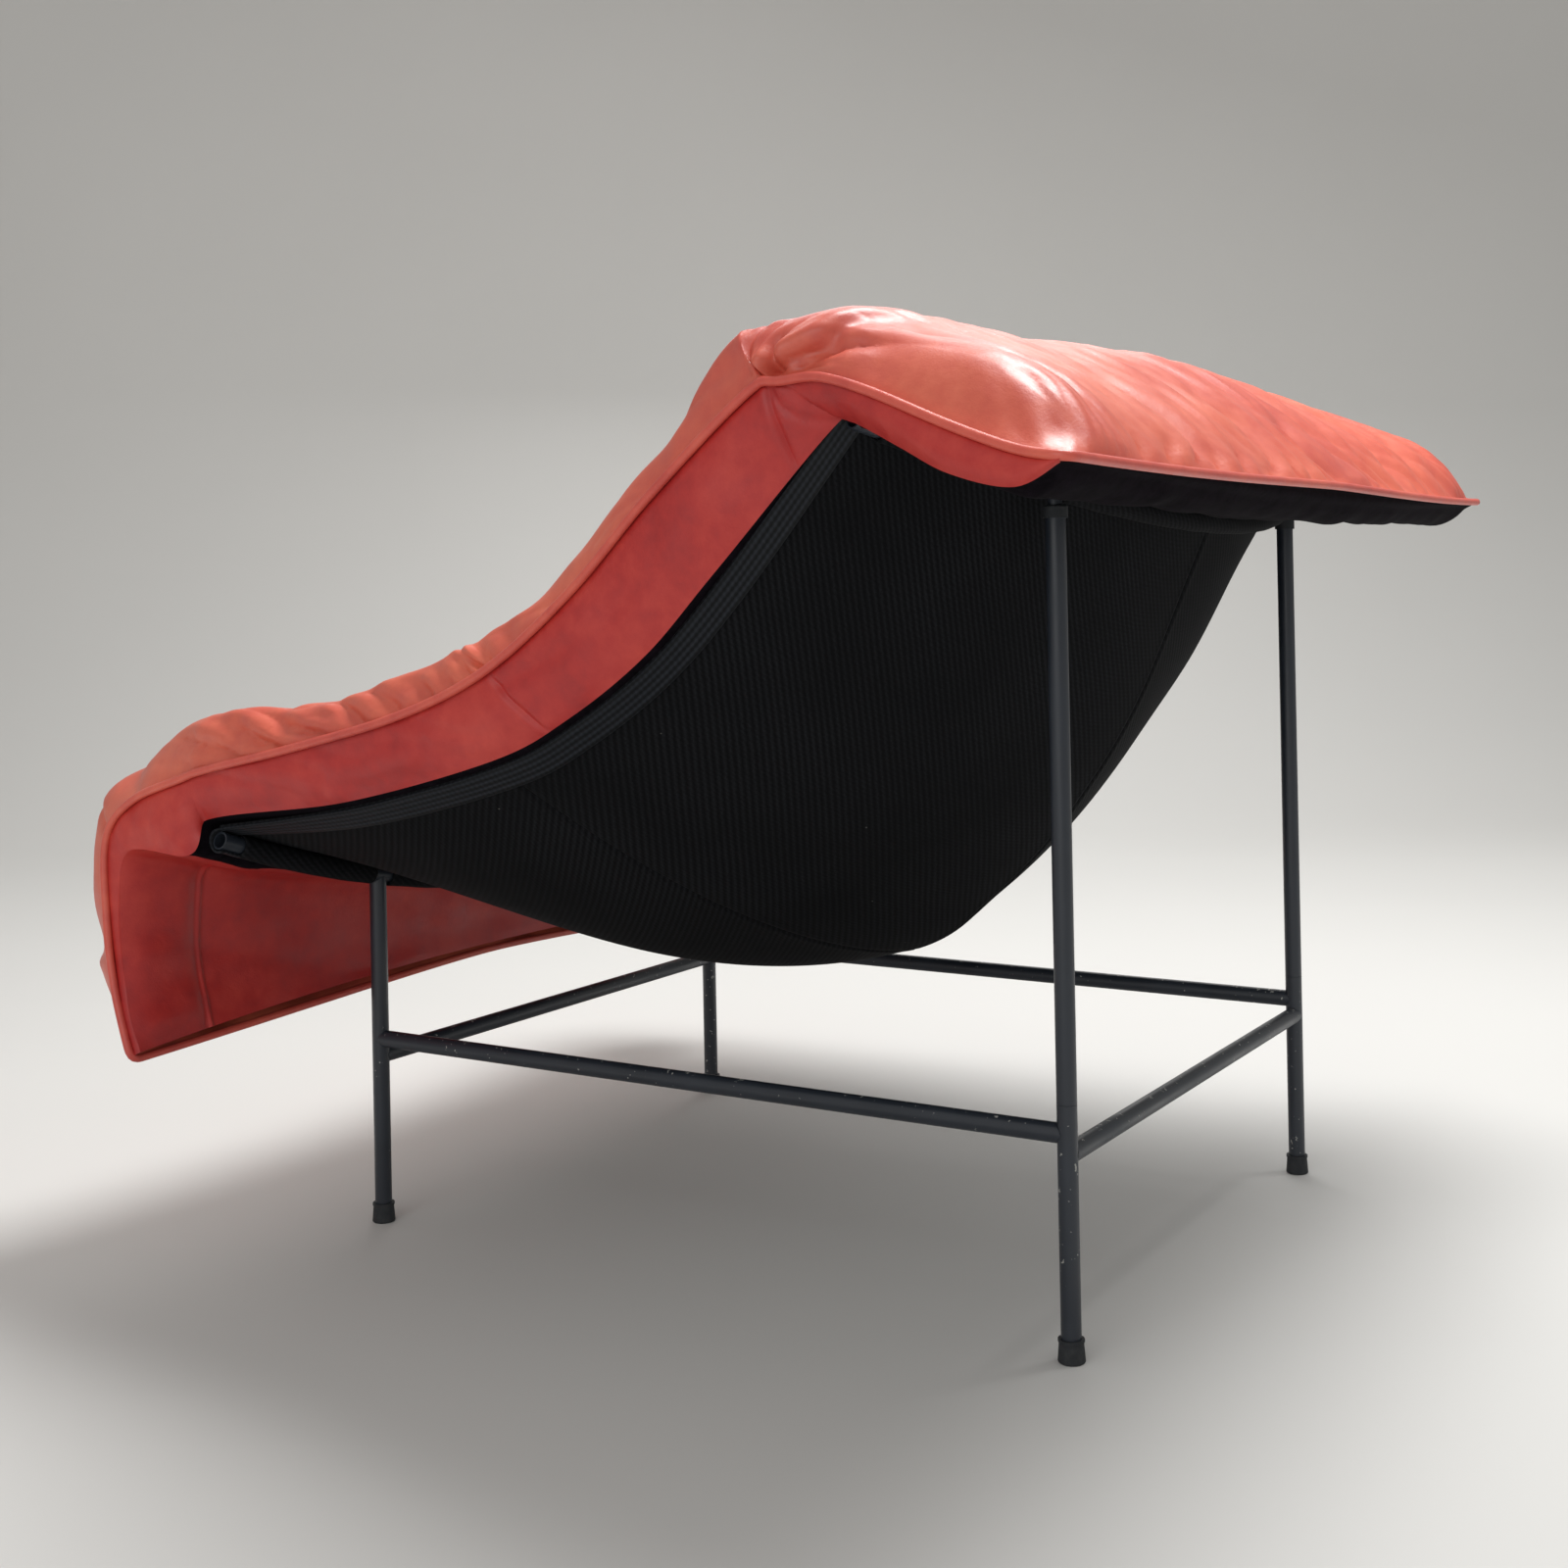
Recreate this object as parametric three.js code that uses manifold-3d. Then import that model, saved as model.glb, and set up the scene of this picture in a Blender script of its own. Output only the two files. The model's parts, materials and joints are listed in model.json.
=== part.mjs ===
// A leather sling lounge chair: a bolted-together base of round steel tube, two curved
// bars, a tailored canvas sling between them and one loose leather pad draped over it.
// Millimetres, +Z up. The sitter faces -Y, and the chair is mirrored about X = 0.

import * as THREE from 'three';
import { mergeVertices } from 'three/addons/utils/BufferGeometryUtils.js';
import Module from 'manifold-3d';

const wasm = await Module();
wasm.setup();

// Gaps left between pieces that touch on the real chair
const contactGap = 0.3;
const cutOverrun = 6;

// Base frame of round tube
const tubeDiameter = 16;
const tubeWall = 1.5;
const legSpacing = 560;
const legReach = 712;
const endRailHeight = 159;
const jointAboveRail = 39;
const spigotLength = 90;

// Rubber feet
const footDiameter = 21.7;
const footTopDiameter = 19.4;
const footHeight = 18.3;
const footSole = 3;
const footLipHeight = 2.4;
const footLipOverhang = 0.7;
const footTreadDepth = 1;
const footTreadWidth = 2.2;

// Curved bars that carry the sling
const barHalfSpan = 475;
const frontBarEndHeight = 387;
const frontBarSag = 84;
const rearBarEndHeight = 717;
const rearBarSag = 68;
const rearBarBow = 100;

// Fittings between the rear posts and the rear bar
const studDiameter = 11;
const studLength = 44;
const capHeight = 10;
const capWall = 1.3;
const capPlate = 3;
const capToHem = 4;

// Canvas sling
const canvasThickness = 2;
const hemThickness = 1.8;
const wrapSlack = 0.6;
const webbingAcross = 21;
const webbingThickness = 2;
const backLean = THREE.MathUtils.degToRad(61);

// Leather pad
const padThickness = 88;
const leatherThickness = 2;
const liningThickness = 1;
const padOverhang = 20;
const headFlare = 50;
const padEdgeLift = 8;
const padEdgeOverhang = 3;
const crownRoll = 50;
const pipingDiameter = 6.4;
const stripWidth = 52;

// Faces round a tube, a foot and a piping cord, and steps along a bar
const tubeSides = 16;
const footSides = 16;
const pipingSides = 6;
const barSteps = 16;

// Places that follow from the sizes above
const tubeRadius = tubeDiameter / 2;
const boreRadius = tubeRadius - tubeWall;
const legX = legSpacing / 2;
const legY = legReach / 2;
const sideRailHeight = endRailHeight + tubeDiameter;
const legJointHeight = endRailHeight + jointAboveRail;
const hemInner = tubeRadius + contactGap;
const hemOuter = hemInner + hemThickness;
const slingLift = hemOuter + contactGap + wrapSlack + canvasThickness / 2;
const postShare = legX / barHalfSpan;
const rearBarY = legY + rearBarBow * postShare ** 2;
const frontBarMiddle = frontBarEndHeight - frontBarSag;
const rearBarMiddle = rearBarEndHeight - rearBarSag;
const rearBarAtPost = rearBarMiddle + rearBarSag * postShare ** 2;
const capTop = rearBarAtPost - hemOuter - capToHem;
const postTop = capTop - capPlate - contactGap;

// Lines across the sling from the front bar to the rear bar. Each is a middle point and a
// rim point, as shares of the run between the bars and of the rise of the bars, with the
// powers by which depth and height grow towards the rim.
const middleRunShares = [0, 0.354, 0.589, 0.701, 0.801, 0.907, 1];
const middleRiseShares = [0, -0.244, -0.191, -0.032, 0.191, 0.544, 1];
const rimRunShares = [0, 0.246, 0.496, 0.616, 0.734, 0.838, 1];
const rimRiseShares = [0, 0.072, 0.192, 0.297, 0.449, 0.643, 1];
const depthPowerShares = [2, 1.4, 1.1, 1.2, 1.4, 1.7, 2];
const heightPowerShares = [2, 1.8, 1.65, 1.65, 1.7, 1.8, 2];
const seamIndex = 2;
const lastIndex = 6;

// Lines along the pad, from the bottom of the front flap over the seat and back to the rear
// edge of the head flap. Depths and heights are measured from the sling line that the pad
// leaves, as shares of the pad's thickness: top and underside, in the middle and at the edge.
const topMiddleShares = [
  [-1.09, -1.18], [-1.55, -0.6], [-1.69, 0.08], [-1.64, 0.65], [-1.2, 1.02], [0.05, 0.97],
  [-0.17, 1.02], [-0.55, 0.82], [-0.64, 0.77], [-0.84, 0.57], [-0.86, 0.62], [-0.84, 1.54],
  [-0.46, 1.63], [0.04, 1.31], [0.54, 0.91], [0.91, 0.57], [1.16, 0.15]];
const topEdgeShares = [
  [-1, -2.37], [-1.2, -1.69], [-1.34, -1.04], [-1.3, -0.2], [-0.95, 0.37], [-0.18, 0.66],
  [-0.57, 0.68], [-1.01, 0.53], [-0.76, 0.45], [-0.62, 0.51], [-0.43, 0.67], [-0.53, 0.26],
  [0.03, 0.27], [0.51, 0.15], [1.26, -0.21], [1.88, -0.47], [2.25, -0.63]];
const underMiddleShares = [
  [-1.01, -1.13], [-1.03, -0.79], [-0.95, -0.45], [-0.82, -0.25], [-0.41, -0.12], [0, 0], [0, 0],
  [0, 0], [0, 0], [0, 0], [0, 0], [0, 0], [0.08, 0.14], [0.46, -0.04], [0.74, -0.06],
  [0.95, -0.03], [1.16, 0.02]];
const underEdgeShares = [
  [-0.93, -2.4], [-1.12, -1.78], [-1.25, -1.23], [-1.09, -0.41], [-0.5, -0.07], [0, 0], [0, 0],
  [0, 0], [0, 0], [0, 0], [0, 0], [0, 0], [0.19, 0.05], [0.77, -0.3], [1.47, -0.81], [2.23, -0.93],
  [2.59, -0.93]];
const crownShares = [
  0, 0.41, 0.48, 0.55, 0.5, 0.41, 0.39, 0.41, 0.48, 0.48, 0.5, 0.59, 0.64, 0.66, 0.64, 0.5, 0];
const flareShares = [0, 0, 0, 0, 0, 0, 0, 0, 0, 0, 0, 0, 0.1, 0.3, 0.6, 0.86, 1];
const topPowerShare = 1.8;
const underPowerShare = 2;
const overhangShare = 0.5;

// Numbers of the pad lines where one leather panel is sewn to the next, and steps between lines
const flapBottomIndex = 0;
const frontSeamIndex = 3;
const barIndex = 5;
const seatSeamIndex = 8;
const ridgeIndex = barIndex + lastIndex;
const rearEdgeIndex = topMiddleShares.length - 1;
const stepsPerLine = [1, 1, 1, 2, 2, 3, 3, 2, 2, 2, 2, 2, 1, 1, 1, 1];

// Places across the sling and pad, from the middle to the rim
const webbingEdge = 1 - webbingAcross / barHalfSpan;
const halfColumnShares = [0, 0.22, 0.44, 0.64, 0.8, 0.9];
const insideEdge = 1 - (leatherThickness + contactGap) / barHalfSpan;
const halfColumns = [...halfColumnShares, webbingEdge, insideEdge, 1];
const columns = [...halfColumns.slice(1).reverse().map((t) => -t), ...halfColumns];

// Finishes
const finish = (color, roughness, metalness = 0) =>
  new THREE.MeshStandardMaterial({ color, roughness, metalness });
const paintedSteel = finish('#2c3138', 0.42, 0.3);
const bareSteel = finish('#8a8d90', 0.4, 0.9);
const rubber = finish('#2a2d31', 0.8);
const canvas = finish('#18191b', 0.95);
const webbing = finish('#202227', 0.9);
const topLeather = finish('#cf5a45', 0.42);
const sideLeather = finish('#b13434', 0.5);
const lining = finish('#1d191e', 0.97);
const wadding = finish('#ded6c4', 1);

const pieces = new THREE.Group();

function addPiece(name, geometry, material) {
  const piece = new THREE.Mesh(geometry, material);
  piece.name = name;
  pieces.add(piece);
}

// Solids for joining and cutting

function toSolid(geometry) {
  const bare = geometry.clone();
  bare.deleteAttribute('normal');
  bare.deleteAttribute('uv');
  const welded = mergeVertices(bare, contactGap / 1000);
  return new wasm.Manifold(new wasm.Mesh({
    numProp: 3,
    vertProperties: new Float32Array(welded.attributes.position.array),
    triVerts: new Uint32Array(welded.index.array),
  }));
}

function toGeometry(solid) {
  const mesh = solid.getMesh();
  const geometry = new THREE.BufferGeometry();
  geometry.setAttribute('position', new THREE.BufferAttribute(mesh.vertProperties, 3));
  geometry.setIndex(new THREE.BufferAttribute(mesh.triVerts, 1));
  return geometry;
}

function cutAway(geometry, ...cutters) {
  return toGeometry(cutters.reduce((solid, cutter) => solid.subtract(toSolid(cutter)), toSolid(geometry)));
}

// Round stock

function ring(radius, sides) {
  const points = [];
  for (let i = 0; i < sides; i++) {
    const angle = (i / sides) * 2 * Math.PI;
    points.push(new THREE.Vector2(radius * Math.cos(angle), radius * Math.sin(angle)));
  }
  return points;
}

function tubeShape(outer, inner, sides) {
  const shape = new THREE.Shape(ring(outer, sides));
  if (inner > 0) shape.holes.push(new THREE.Path(ring(inner, sides)));
  return shape;
}

function straightStock(outer, inner, from, to, sides = tubeSides) {
  const run = new THREE.Vector3().subVectors(to, from);
  const geometry = new THREE.ExtrudeGeometry(tubeShape(outer, inner, sides),
    { depth: run.length(), bevelEnabled: false });
  const turn = new THREE.Quaternion().setFromUnitVectors(new THREE.Vector3(0, 0, 1), run.normalize());
  geometry.applyQuaternion(turn);
  return geometry.translate(from.x, from.y, from.z);
}

function upright(outer, inner, x, y, low, high, sides = tubeSides) {
  return straightStock(outer, inner, new THREE.Vector3(x, y, low), new THREE.Vector3(x, y, high), sides);
}

class BarPath extends THREE.Curve {
  constructor(pointAt, halfSpan) {
    super();
    this.pointAt = pointAt;
    this.halfSpan = halfSpan;
  }

  getPoint(share, target = new THREE.Vector3()) {
    return target.copy(this.pointAt((2 * share - 1) * this.halfSpan));
  }
}

function frontBarPoint(x) {
  const share = x / barHalfSpan;
  return new THREE.Vector3(x, -legY, frontBarMiddle + frontBarSag * share ** 2);
}

function rearBarPoint(x) {
  const share = x / barHalfSpan;
  return new THREE.Vector3(x, rearBarY - rearBarBow * share ** 2, rearBarMiddle + rearBarSag * share ** 2);
}

function alongBar(pointAt, outer, inner, halfSpan) {
  return new THREE.ExtrudeGeometry(tubeShape(outer, inner, tubeSides),
    { extrudePath: new BarPath(pointAt, halfSpan), steps: barSteps, bevelEnabled: false });
}

// Base frame

function addFoot(name, x, y) {
  const outer = footDiameter / 2;
  const top = footTopDiameter / 2;
  const bore = tubeRadius + contactGap;
  const profile = [
    [0, footTreadDepth],
    [outer - 2 * footTreadWidth, footTreadDepth],
    [outer - 2 * footTreadWidth, 0],
    [outer - footTreadWidth / 2, 0],
    [outer, footTreadWidth / 2],
    [top, footHeight - footLipHeight],
    [top + footLipOverhang, footHeight - footLipHeight],
    [top + footLipOverhang, footHeight],
    [bore, footHeight],
    [bore, footSole],
    [0, footSole],
  ].map(([radius, height]) => new THREE.Vector2(radius, height));
  const geometry = new THREE.LatheGeometry(profile, footSides).rotateX(Math.PI / 2);
  addPiece(name, geometry.translate(x, y, 0), rubber);
}

function legSurround(x, y) {
  return upright(tubeRadius + contactGap, 0, x, y, footSole, legJointHeight);
}

function addFrontLeg(name, x) {
  const leg = upright(tubeRadius, boreRadius, x, -legY, footSole + contactGap, frontBarPoint(x).z);
  const bar = alongBar(frontBarPoint, tubeRadius + contactGap, 0, barHalfSpan);
  addPiece(name, cutAway(leg, bar), paintedSteel);
}

function addRearLeg(side, x) {
  const bottom = footSole + contactGap;
  addPiece(`rear_leg_${side}`,
    upright(tubeRadius, boreRadius, x, legY, bottom, legJointHeight), paintedSteel);
  addPiece(`rear_post_${side}`,
    upright(tubeRadius, boreRadius, x, legY, legJointHeight + contactGap, postTop), paintedSteel);
  const spigotBottom = legJointHeight - spigotLength / 2;
  addPiece(`post_spigot_${side}`,
    upright(boreRadius - contactGap, 0, x, legY, spigotBottom, spigotBottom + spigotLength), bareSteel);
}

function addSideRail(name, x) {
  const rail = straightStock(tubeRadius, boreRadius,
    new THREE.Vector3(x, -legY, sideRailHeight), new THREE.Vector3(x, legY, sideRailHeight));
  addPiece(name, cutAway(rail, legSurround(x, -legY), legSurround(x, legY)), paintedSteel);
}

function addEndRail(name, y) {
  const rail = straightStock(tubeRadius, boreRadius,
    new THREE.Vector3(-legX, y, endRailHeight), new THREE.Vector3(legX, y, endRailHeight));
  addPiece(name, cutAway(rail, legSurround(-legX, y), legSurround(legX, y)), paintedSteel);
}

function addPostFitting(side, x) {
  const studRadius = studDiameter / 2;
  const studTop = rearBarPoint(x).z;
  const stud = upright(studRadius, 0, x, legY, studTop - studLength, studTop);
  const bar = alongBar(rearBarPoint, tubeRadius + contactGap, 0, barHalfSpan);
  addPiece(`bar_stud_${side}`, cutAway(stud, bar), paintedSteel);

  const skirt = tubeRadius + contactGap;
  const profile = [
    [studRadius + contactGap, capTop],
    [studRadius + contactGap, capTop - capPlate],
    [skirt, capTop - capPlate],
    [skirt, capTop - capHeight],
    [skirt + capWall, capTop - capHeight],
    [skirt + capWall, capTop - capWall],
    [skirt, capTop],
    [studRadius + contactGap, capTop],
  ].map(([radius, height]) => new THREE.Vector2(radius, height));
  const cap = new THREE.LatheGeometry(profile, footSides).rotateX(Math.PI / 2);
  addPiece(`post_cap_${side}`, cap.translate(x, legY, 0), rubber);
}

// Room for the rim webbing where a hem stops short of the bar's end

function bandRoom(pointAt) {
  const wide = webbingAcross + contactGap + cutOverrun;
  const tall = 2 * (hemOuter + wide);
  return [-1, 1].map((side) => {
    const middle = pointAt(side * (barHalfSpan + cutOverrun - wide / 2));
    return new THREE.BoxGeometry(wide, tall, tall).translate(middle.x, middle.y, middle.z);
  });
}

function addBarsAndHems() {
  addPiece('front_bar', alongBar(frontBarPoint, tubeRadius, boreRadius, barHalfSpan), paintedSteel);
  addPiece('rear_bar', alongBar(rearBarPoint, tubeRadius, boreRadius, barHalfSpan), paintedSteel);
  const frontHem = alongBar(frontBarPoint, hemOuter, hemInner, barHalfSpan);
  const rearHem = alongBar(rearBarPoint, hemOuter, hemInner, barHalfSpan);
  const notch = (x, y, radius, top) =>
    upright(radius + 2 * contactGap, 0, x, y, top - hemOuter - cutOverrun, top);
  const front = [-legX, legX].map((x) => notch(x, -legY, tubeRadius, frontBarPoint(x).z));
  const rear = [-legX, legX].map((x) => notch(x, legY, studDiameter / 2, rearBarPoint(x).z));
  addPiece('sling_front_hem', cutAway(frontHem, ...front, ...bandRoom(frontBarPoint)), canvas);
  addPiece('sling_rear_hem', cutAway(rearHem, ...rear, ...bandRoom(rearBarPoint)), canvas);
}

// Smooth curves through a list of numbers

function smoothAt(values, place) {
  const last = values.length - 1;
  const index = Math.min(Math.max(Math.floor(place), 0), last - 1);
  const part = place - index;
  const [a, b, c, d] = [index - 1, index, index + 1, index + 2]
    .map((i) => values[Math.min(Math.max(i, 0), last)]);
  const bend = 2 * a - 5 * b + 4 * c - d;
  const twist = 3 * (b - c) + d - a;
  return b + 0.5 * part * (c - a + part * (bend + part * twist));
}

function smoothPair(pairs, place) {
  return [smoothAt(pairs.map((p) => p[0]), place), smoothAt(pairs.map((p) => p[1]), place)];
}

const mix = (a, b, share) => a + (b - a) * share;

// Sling surface: line 0 lies on the front bar and the last line on the rear bar

function rimLift(depthSlope, heightSlope, lean) {
  const toward = heightSlope * Math.cos(lean) - depthSlope * Math.sin(lean);
  return slingLift / Math.sqrt(1 - toward ** 2 / (1 + depthSlope ** 2 + heightSlope ** 2));
}

const frontRimLift = rimLift(0, 2 * frontBarSag / barHalfSpan, 0);
const rearRimLift = rimLift(-2 * rearBarBow / barHalfSpan, 2 * rearBarSag / barHalfSpan, backLean);

function slingDepths() {
  const front = -legY;
  const rearMiddle = rearBarY - slingLift * Math.sin(backLean);
  const rearRim = rearBarY - rearBarBow - rearRimLift * Math.sin(backLean);
  return {
    middle: middleRunShares.map((share) => mix(front, rearMiddle, share)),
    rim: rimRunShares.map((share) => mix(front, rearRim, share)),
  };
}

function slingHeights() {
  const middleLow = frontBarMiddle + slingLift;
  const middleHigh = rearBarMiddle + slingLift * Math.cos(backLean);
  const rimLow = frontBarEndHeight + frontRimLift;
  const rimHigh = rearBarEndHeight + rearRimLift * Math.cos(backLean);
  return {
    middle: middleRiseShares.map((share) => mix(middleLow, middleHigh, share)),
    rim: rimRiseShares.map((share) => mix(rimLow, rimHigh, share)),
  };
}

const slingDepth = slingDepths();
const slingHeight = slingHeights();

function slingPoint(line, t) {
  const reach = Math.abs(t);
  const depthPower = smoothAt(depthPowerShares, line);
  const heightPower = smoothAt(heightPowerShares, line);
  const y = mix(smoothAt(slingDepth.middle, line), smoothAt(slingDepth.rim, line), reach ** depthPower);
  const z = mix(smoothAt(slingHeight.middle, line), smoothAt(slingHeight.rim, line), reach ** heightPower);
  return new THREE.Vector3(t * barHalfSpan, y, z);
}

const probeShare = 0.004;

function slingNormal(line, t) {
  const low = Math.max(line - probeShare, 0);
  const high = Math.min(line + probeShare, lastIndex);
  const along = slingPoint(high, t).sub(slingPoint(low, t));
  const across = slingPoint(line, t + probeShare).sub(slingPoint(line, t - probeShare));
  return across.cross(along).normalize();
}

function slingAt(line, t, lift) {
  return slingPoint(line, t).addScaledVector(slingNormal(line, t), lift);
}

// A closed sheet between an upper and a lower grid of points. The facets of a mirrored
// column slope the other way, so that both halves of the chair match.

function sheetBetween(upper, lower, mirrored = () => false) {
  const rows = upper.length;
  const cols = upper[0].length;
  const positions = [...upper.flat(), ...lower.flat()].flatMap((p) => p.toArray());
  const above = (r, c) => r * cols + c;
  const below = (r, c) => rows * cols + above(r, c);
  const faces = [];
  const quad = (a, b, c, d) => faces.push(a, b, c, a, c, d);
  const turned = ([a, b, c, d]) => [b, c, d, a];
  const seenFromBelow = ([a, b, c, d]) => [a, d, c, b];
  for (let r = 0; r + 1 < rows; r++) {
    for (let c = 0; c + 1 < cols; c++) {
      const cell = (layer) => {
        const corners = [layer(r, c), layer(r, c + 1), layer(r + 1, c + 1), layer(r + 1, c)];
        return mirrored(c) ? turned(corners) : corners;
      };
      quad(...cell(above));
      quad(...seenFromBelow(cell(below)));
    }
    quad(above(r, 0), above(r + 1, 0), below(r + 1, 0), below(r, 0));
    quad(above(r, cols - 1), below(r, cols - 1), below(r + 1, cols - 1), above(r + 1, cols - 1));
  }
  for (let c = 0; c + 1 < cols; c++) {
    quad(above(0, c), below(0, c), below(0, c + 1), above(0, c + 1));
    quad(above(rows - 1, c), above(rows - 1, c + 1), below(rows - 1, c + 1), below(rows - 1, c));
  }
  const geometry = new THREE.BufferGeometry();
  geometry.setAttribute('position', new THREE.Float32BufferAttribute(positions, 3));
  geometry.setIndex(facingOut(positions, faces));
  return geometry;
}

function facingOut(positions, faces) {
  const corner = (i) => new THREE.Vector3().fromArray(positions, 3 * faces[i]);
  let volume = 0;
  for (let i = 0; i < faces.length; i += 3) volume += corner(i).dot(corner(i + 1).cross(corner(i + 2)));
  if (volume > 0) return faces;
  for (let i = 0; i < faces.length; i += 3) [faces[i], faces[i + 1]] = [faces[i + 1], faces[i]];
  return faces;
}

// Lines and places of a grid, with the ends drawn in by half a seam

function linesBetween(from, to) {
  const lines = [];
  for (let line = from; line < to; line++) {
    const steps = stepsPerLine[line];
    for (let i = 0; i < steps; i++) lines.push(line + i / steps);
  }
  return [...lines, to];
}

function drawnIn(places, lowStep, highStep) {
  const last = places.length - 1;
  return places.map((place, i) => place + (i === 0 ? lowStep : 0) - (i === last ? highStep : 0));
}

function lineGap(pointAt, line) {
  const pitch = Math.min(...columns.map((t) =>
    pointAt(line + probeShare, t).distanceTo(pointAt(line - probeShare, t)) / (2 * probeShare)));
  return contactGap / pitch;
}

// Canvas panels and rim webbing

const slingLines = (from, to) => linesBetween(barIndex + from, barIndex + to).map((line) => line - barIndex);

const rightHalf = (places) => (column) => places[column] + places[column + 1] < 0;

function slingSheet(lines, places, high, low) {
  const grid = (lift) => lines.map((line) => places.map((t) => slingAt(line, t, lift)));
  return sheetBetween(grid(high), grid(low), rightHalf(places));
}

function addSling() {
  const half = canvasThickness / 2;
  const seamStep = lineGap(slingPoint, seamIndex);
  const middleStep = contactGap / barHalfSpan;
  addPiece('sling_seat_panel',
    slingSheet(drawnIn(slingLines(0, seamIndex), 0, seamStep), columns, half, -half), canvas);
  const backLines = drawnIn(slingLines(seamIndex, lastIndex), seamStep, 0);
  const leftPlaces = drawnIn(halfColumns, middleStep, 0);
  const rightPlaces = leftPlaces.map((t) => -t).reverse();
  addPiece('sling_back_panel_left', slingSheet(backLines, leftPlaces, half, -half), canvas);
  addPiece('sling_back_panel_right', slingSheet(backLines, rightPlaces, half, -half), canvas);
  const high = -half - contactGap;
  const low = high - webbingThickness;
  const bandLines = slingLines(0, lastIndex);
  addPiece('rim_webbing_left', slingSheet(bandLines, [webbingEdge, insideEdge, 1], high, low), webbing);
  addPiece('rim_webbing_right', slingSheet(bandLines, [-1, -insideEdge, -webbingEdge], high, low), webbing);
}

// Pad surfaces: t runs across from -1 to 1, and line runs along the pad

const slingLineOf = (line) => Math.min(Math.max(line - barIndex, 0), lastIndex);

function crownAt(line, t) {
  const inset = Math.min(Math.max(insideEdge - Math.abs(t), 0) * barHalfSpan / crownRoll, 1);
  return smoothAt(crownShares, line) * padThickness * t * t * Math.sin(inset * Math.PI / 2);
}

function offsetAt(middleShares, edgeShares, line, weight) {
  const middle = smoothPair(middleShares, line);
  const edge = smoothPair(edgeShares, line);
  return new THREE.Vector3(0,
    mix(middle[0], edge[0], weight) * padThickness, mix(middle[1], edge[1], weight) * padThickness);
}

function padUnderPoint(line, t) {
  const reach = Math.abs(t);
  const past = line - slingLineOf(line) - barIndex;
  const beyond = Math.min(Math.max(-past, past * overhangShare), 1);
  const half = barHalfSpan + padOverhang * beyond + headFlare * smoothAt(flareShares, line);
  const onSling = slingAt(slingLineOf(line), t * half / barHalfSpan, canvasThickness / 2 + contactGap);
  const point = onSling.add(offsetAt(underMiddleShares, underEdgeShares, line, reach ** underPowerShare));
  const nearEdge = Math.max((reach - webbingEdge) / (1 - webbingEdge), 0);
  point.x += Math.sign(t) * padEdgeOverhang * nearEdge * (1 - beyond);
  point.z += padEdgeLift * nearEdge * (1 - beyond);
  return point;
}

function padTopPoint(line, t) {
  const point = slingPoint(slingLineOf(line), t);
  point.add(offsetAt(topMiddleShares, topEdgeShares, line, Math.abs(t) ** topPowerShare));
  point.x += t * (padOverhang + headFlare * smoothAt(flareShares, line));
  const outward = point.clone().sub(padUnderPoint(line, t)).normalize();
  return point.addScaledVector(outward, crownAt(line, t));
}

// The pad's layers as flat facets between its lines and columns, so that they nest

const padLines = linesBetween(flapBottomIndex, rearEdgeIndex);
const padTopGrid = padLines.map((line) => columns.map((t) => padTopPoint(line, t)));
const padUnderGrid = padLines.map((line) => columns.map((t) => padUnderPoint(line, t)));

function bracket(places, place) {
  let i = 0;
  while (i + 2 < places.length && places[i + 1] <= place) i++;
  return [i, (place - places[i]) / (places[i + 1] - places[i])];
}

function layerPoint(fromGrid, toGrid, line, t, distance) {
  const corner = (row, col) => {
    const from = fromGrid[row][col];
    const to = toGrid[row][col];
    return from.clone().lerp(to, distance / from.distanceTo(to));
  };
  const [row, rowShare] = bracket(padLines, line);
  const [col, colShare] = bracket(columns, t);
  const low = corner(row, col).lerp(corner(row, col + 1), colShare);
  const high = corner(row + 1, col).lerp(corner(row + 1, col + 1), colShare);
  return low.lerp(high, rowShare);
}

// A point inside the pad: a depth below the top, or a height above the underside

const belowTop = (line, t, depth) => layerPoint(padTopGrid, padUnderGrid, line, t, depth);
const aboveUnder = (line, t, height) => layerPoint(padUnderGrid, padTopGrid, line, t, height);

function padSheet(lines, places, upper, lower) {
  return sheetBetween(
    lines.map((line) => places.map((t) => upper(line, t))),
    lines.map((line) => places.map((t) => lower(line, t))),
    rightHalf(places));
}

function sectionLines(from, to) {
  const gapAt = (line) => Math.max(
    lineGap((l, t) => belowTop(l, t, 0), line), lineGap((l, t) => aboveUnder(l, t, 0), line));
  return drawnIn(linesBetween(from, to),
    from === flapBottomIndex ? 0 : gapAt(from) / 2, to === rearEdgeIndex ? 0 : gapAt(to) / 2);
}

const facingShare = leatherThickness / barHalfSpan;
const insideColumns = columns.filter((t) => Math.abs(t) < 1);
const skin = leatherThickness + contactGap;
const cloth = liningThickness + contactGap;

const padSections = [
  { name: 'front_flap', from: flapBottomIndex, to: frontSeamIndex },
  { name: 'seat', from: frontSeamIndex, to: seatSeamIndex },
  { name: 'back', from: seatSeamIndex, to: ridgeIndex },
  { name: 'head', from: ridgeIndex, to: rearEdgeIndex },
];

function addTopsAndFillings() {
  for (const { name, from, to } of padSections) {
    const lines = sectionLines(from, to);
    addPiece(`${name}_top_leather`,
      padSheet(lines, columns, (l, t) => belowTop(l, t, 0), (l, t) => belowTop(l, t, leatherThickness)),
      topLeather);
    const base = from === flapBottomIndex ? skin : cloth;
    addPiece(`${name}_filling`,
      padSheet(lines, insideColumns, (l, t) => belowTop(l, t, skin), (l, t) => aboveUnder(l, t, base)),
      wadding);
  }
}

// Side facings close the pad between the piping and the sling's rim

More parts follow.
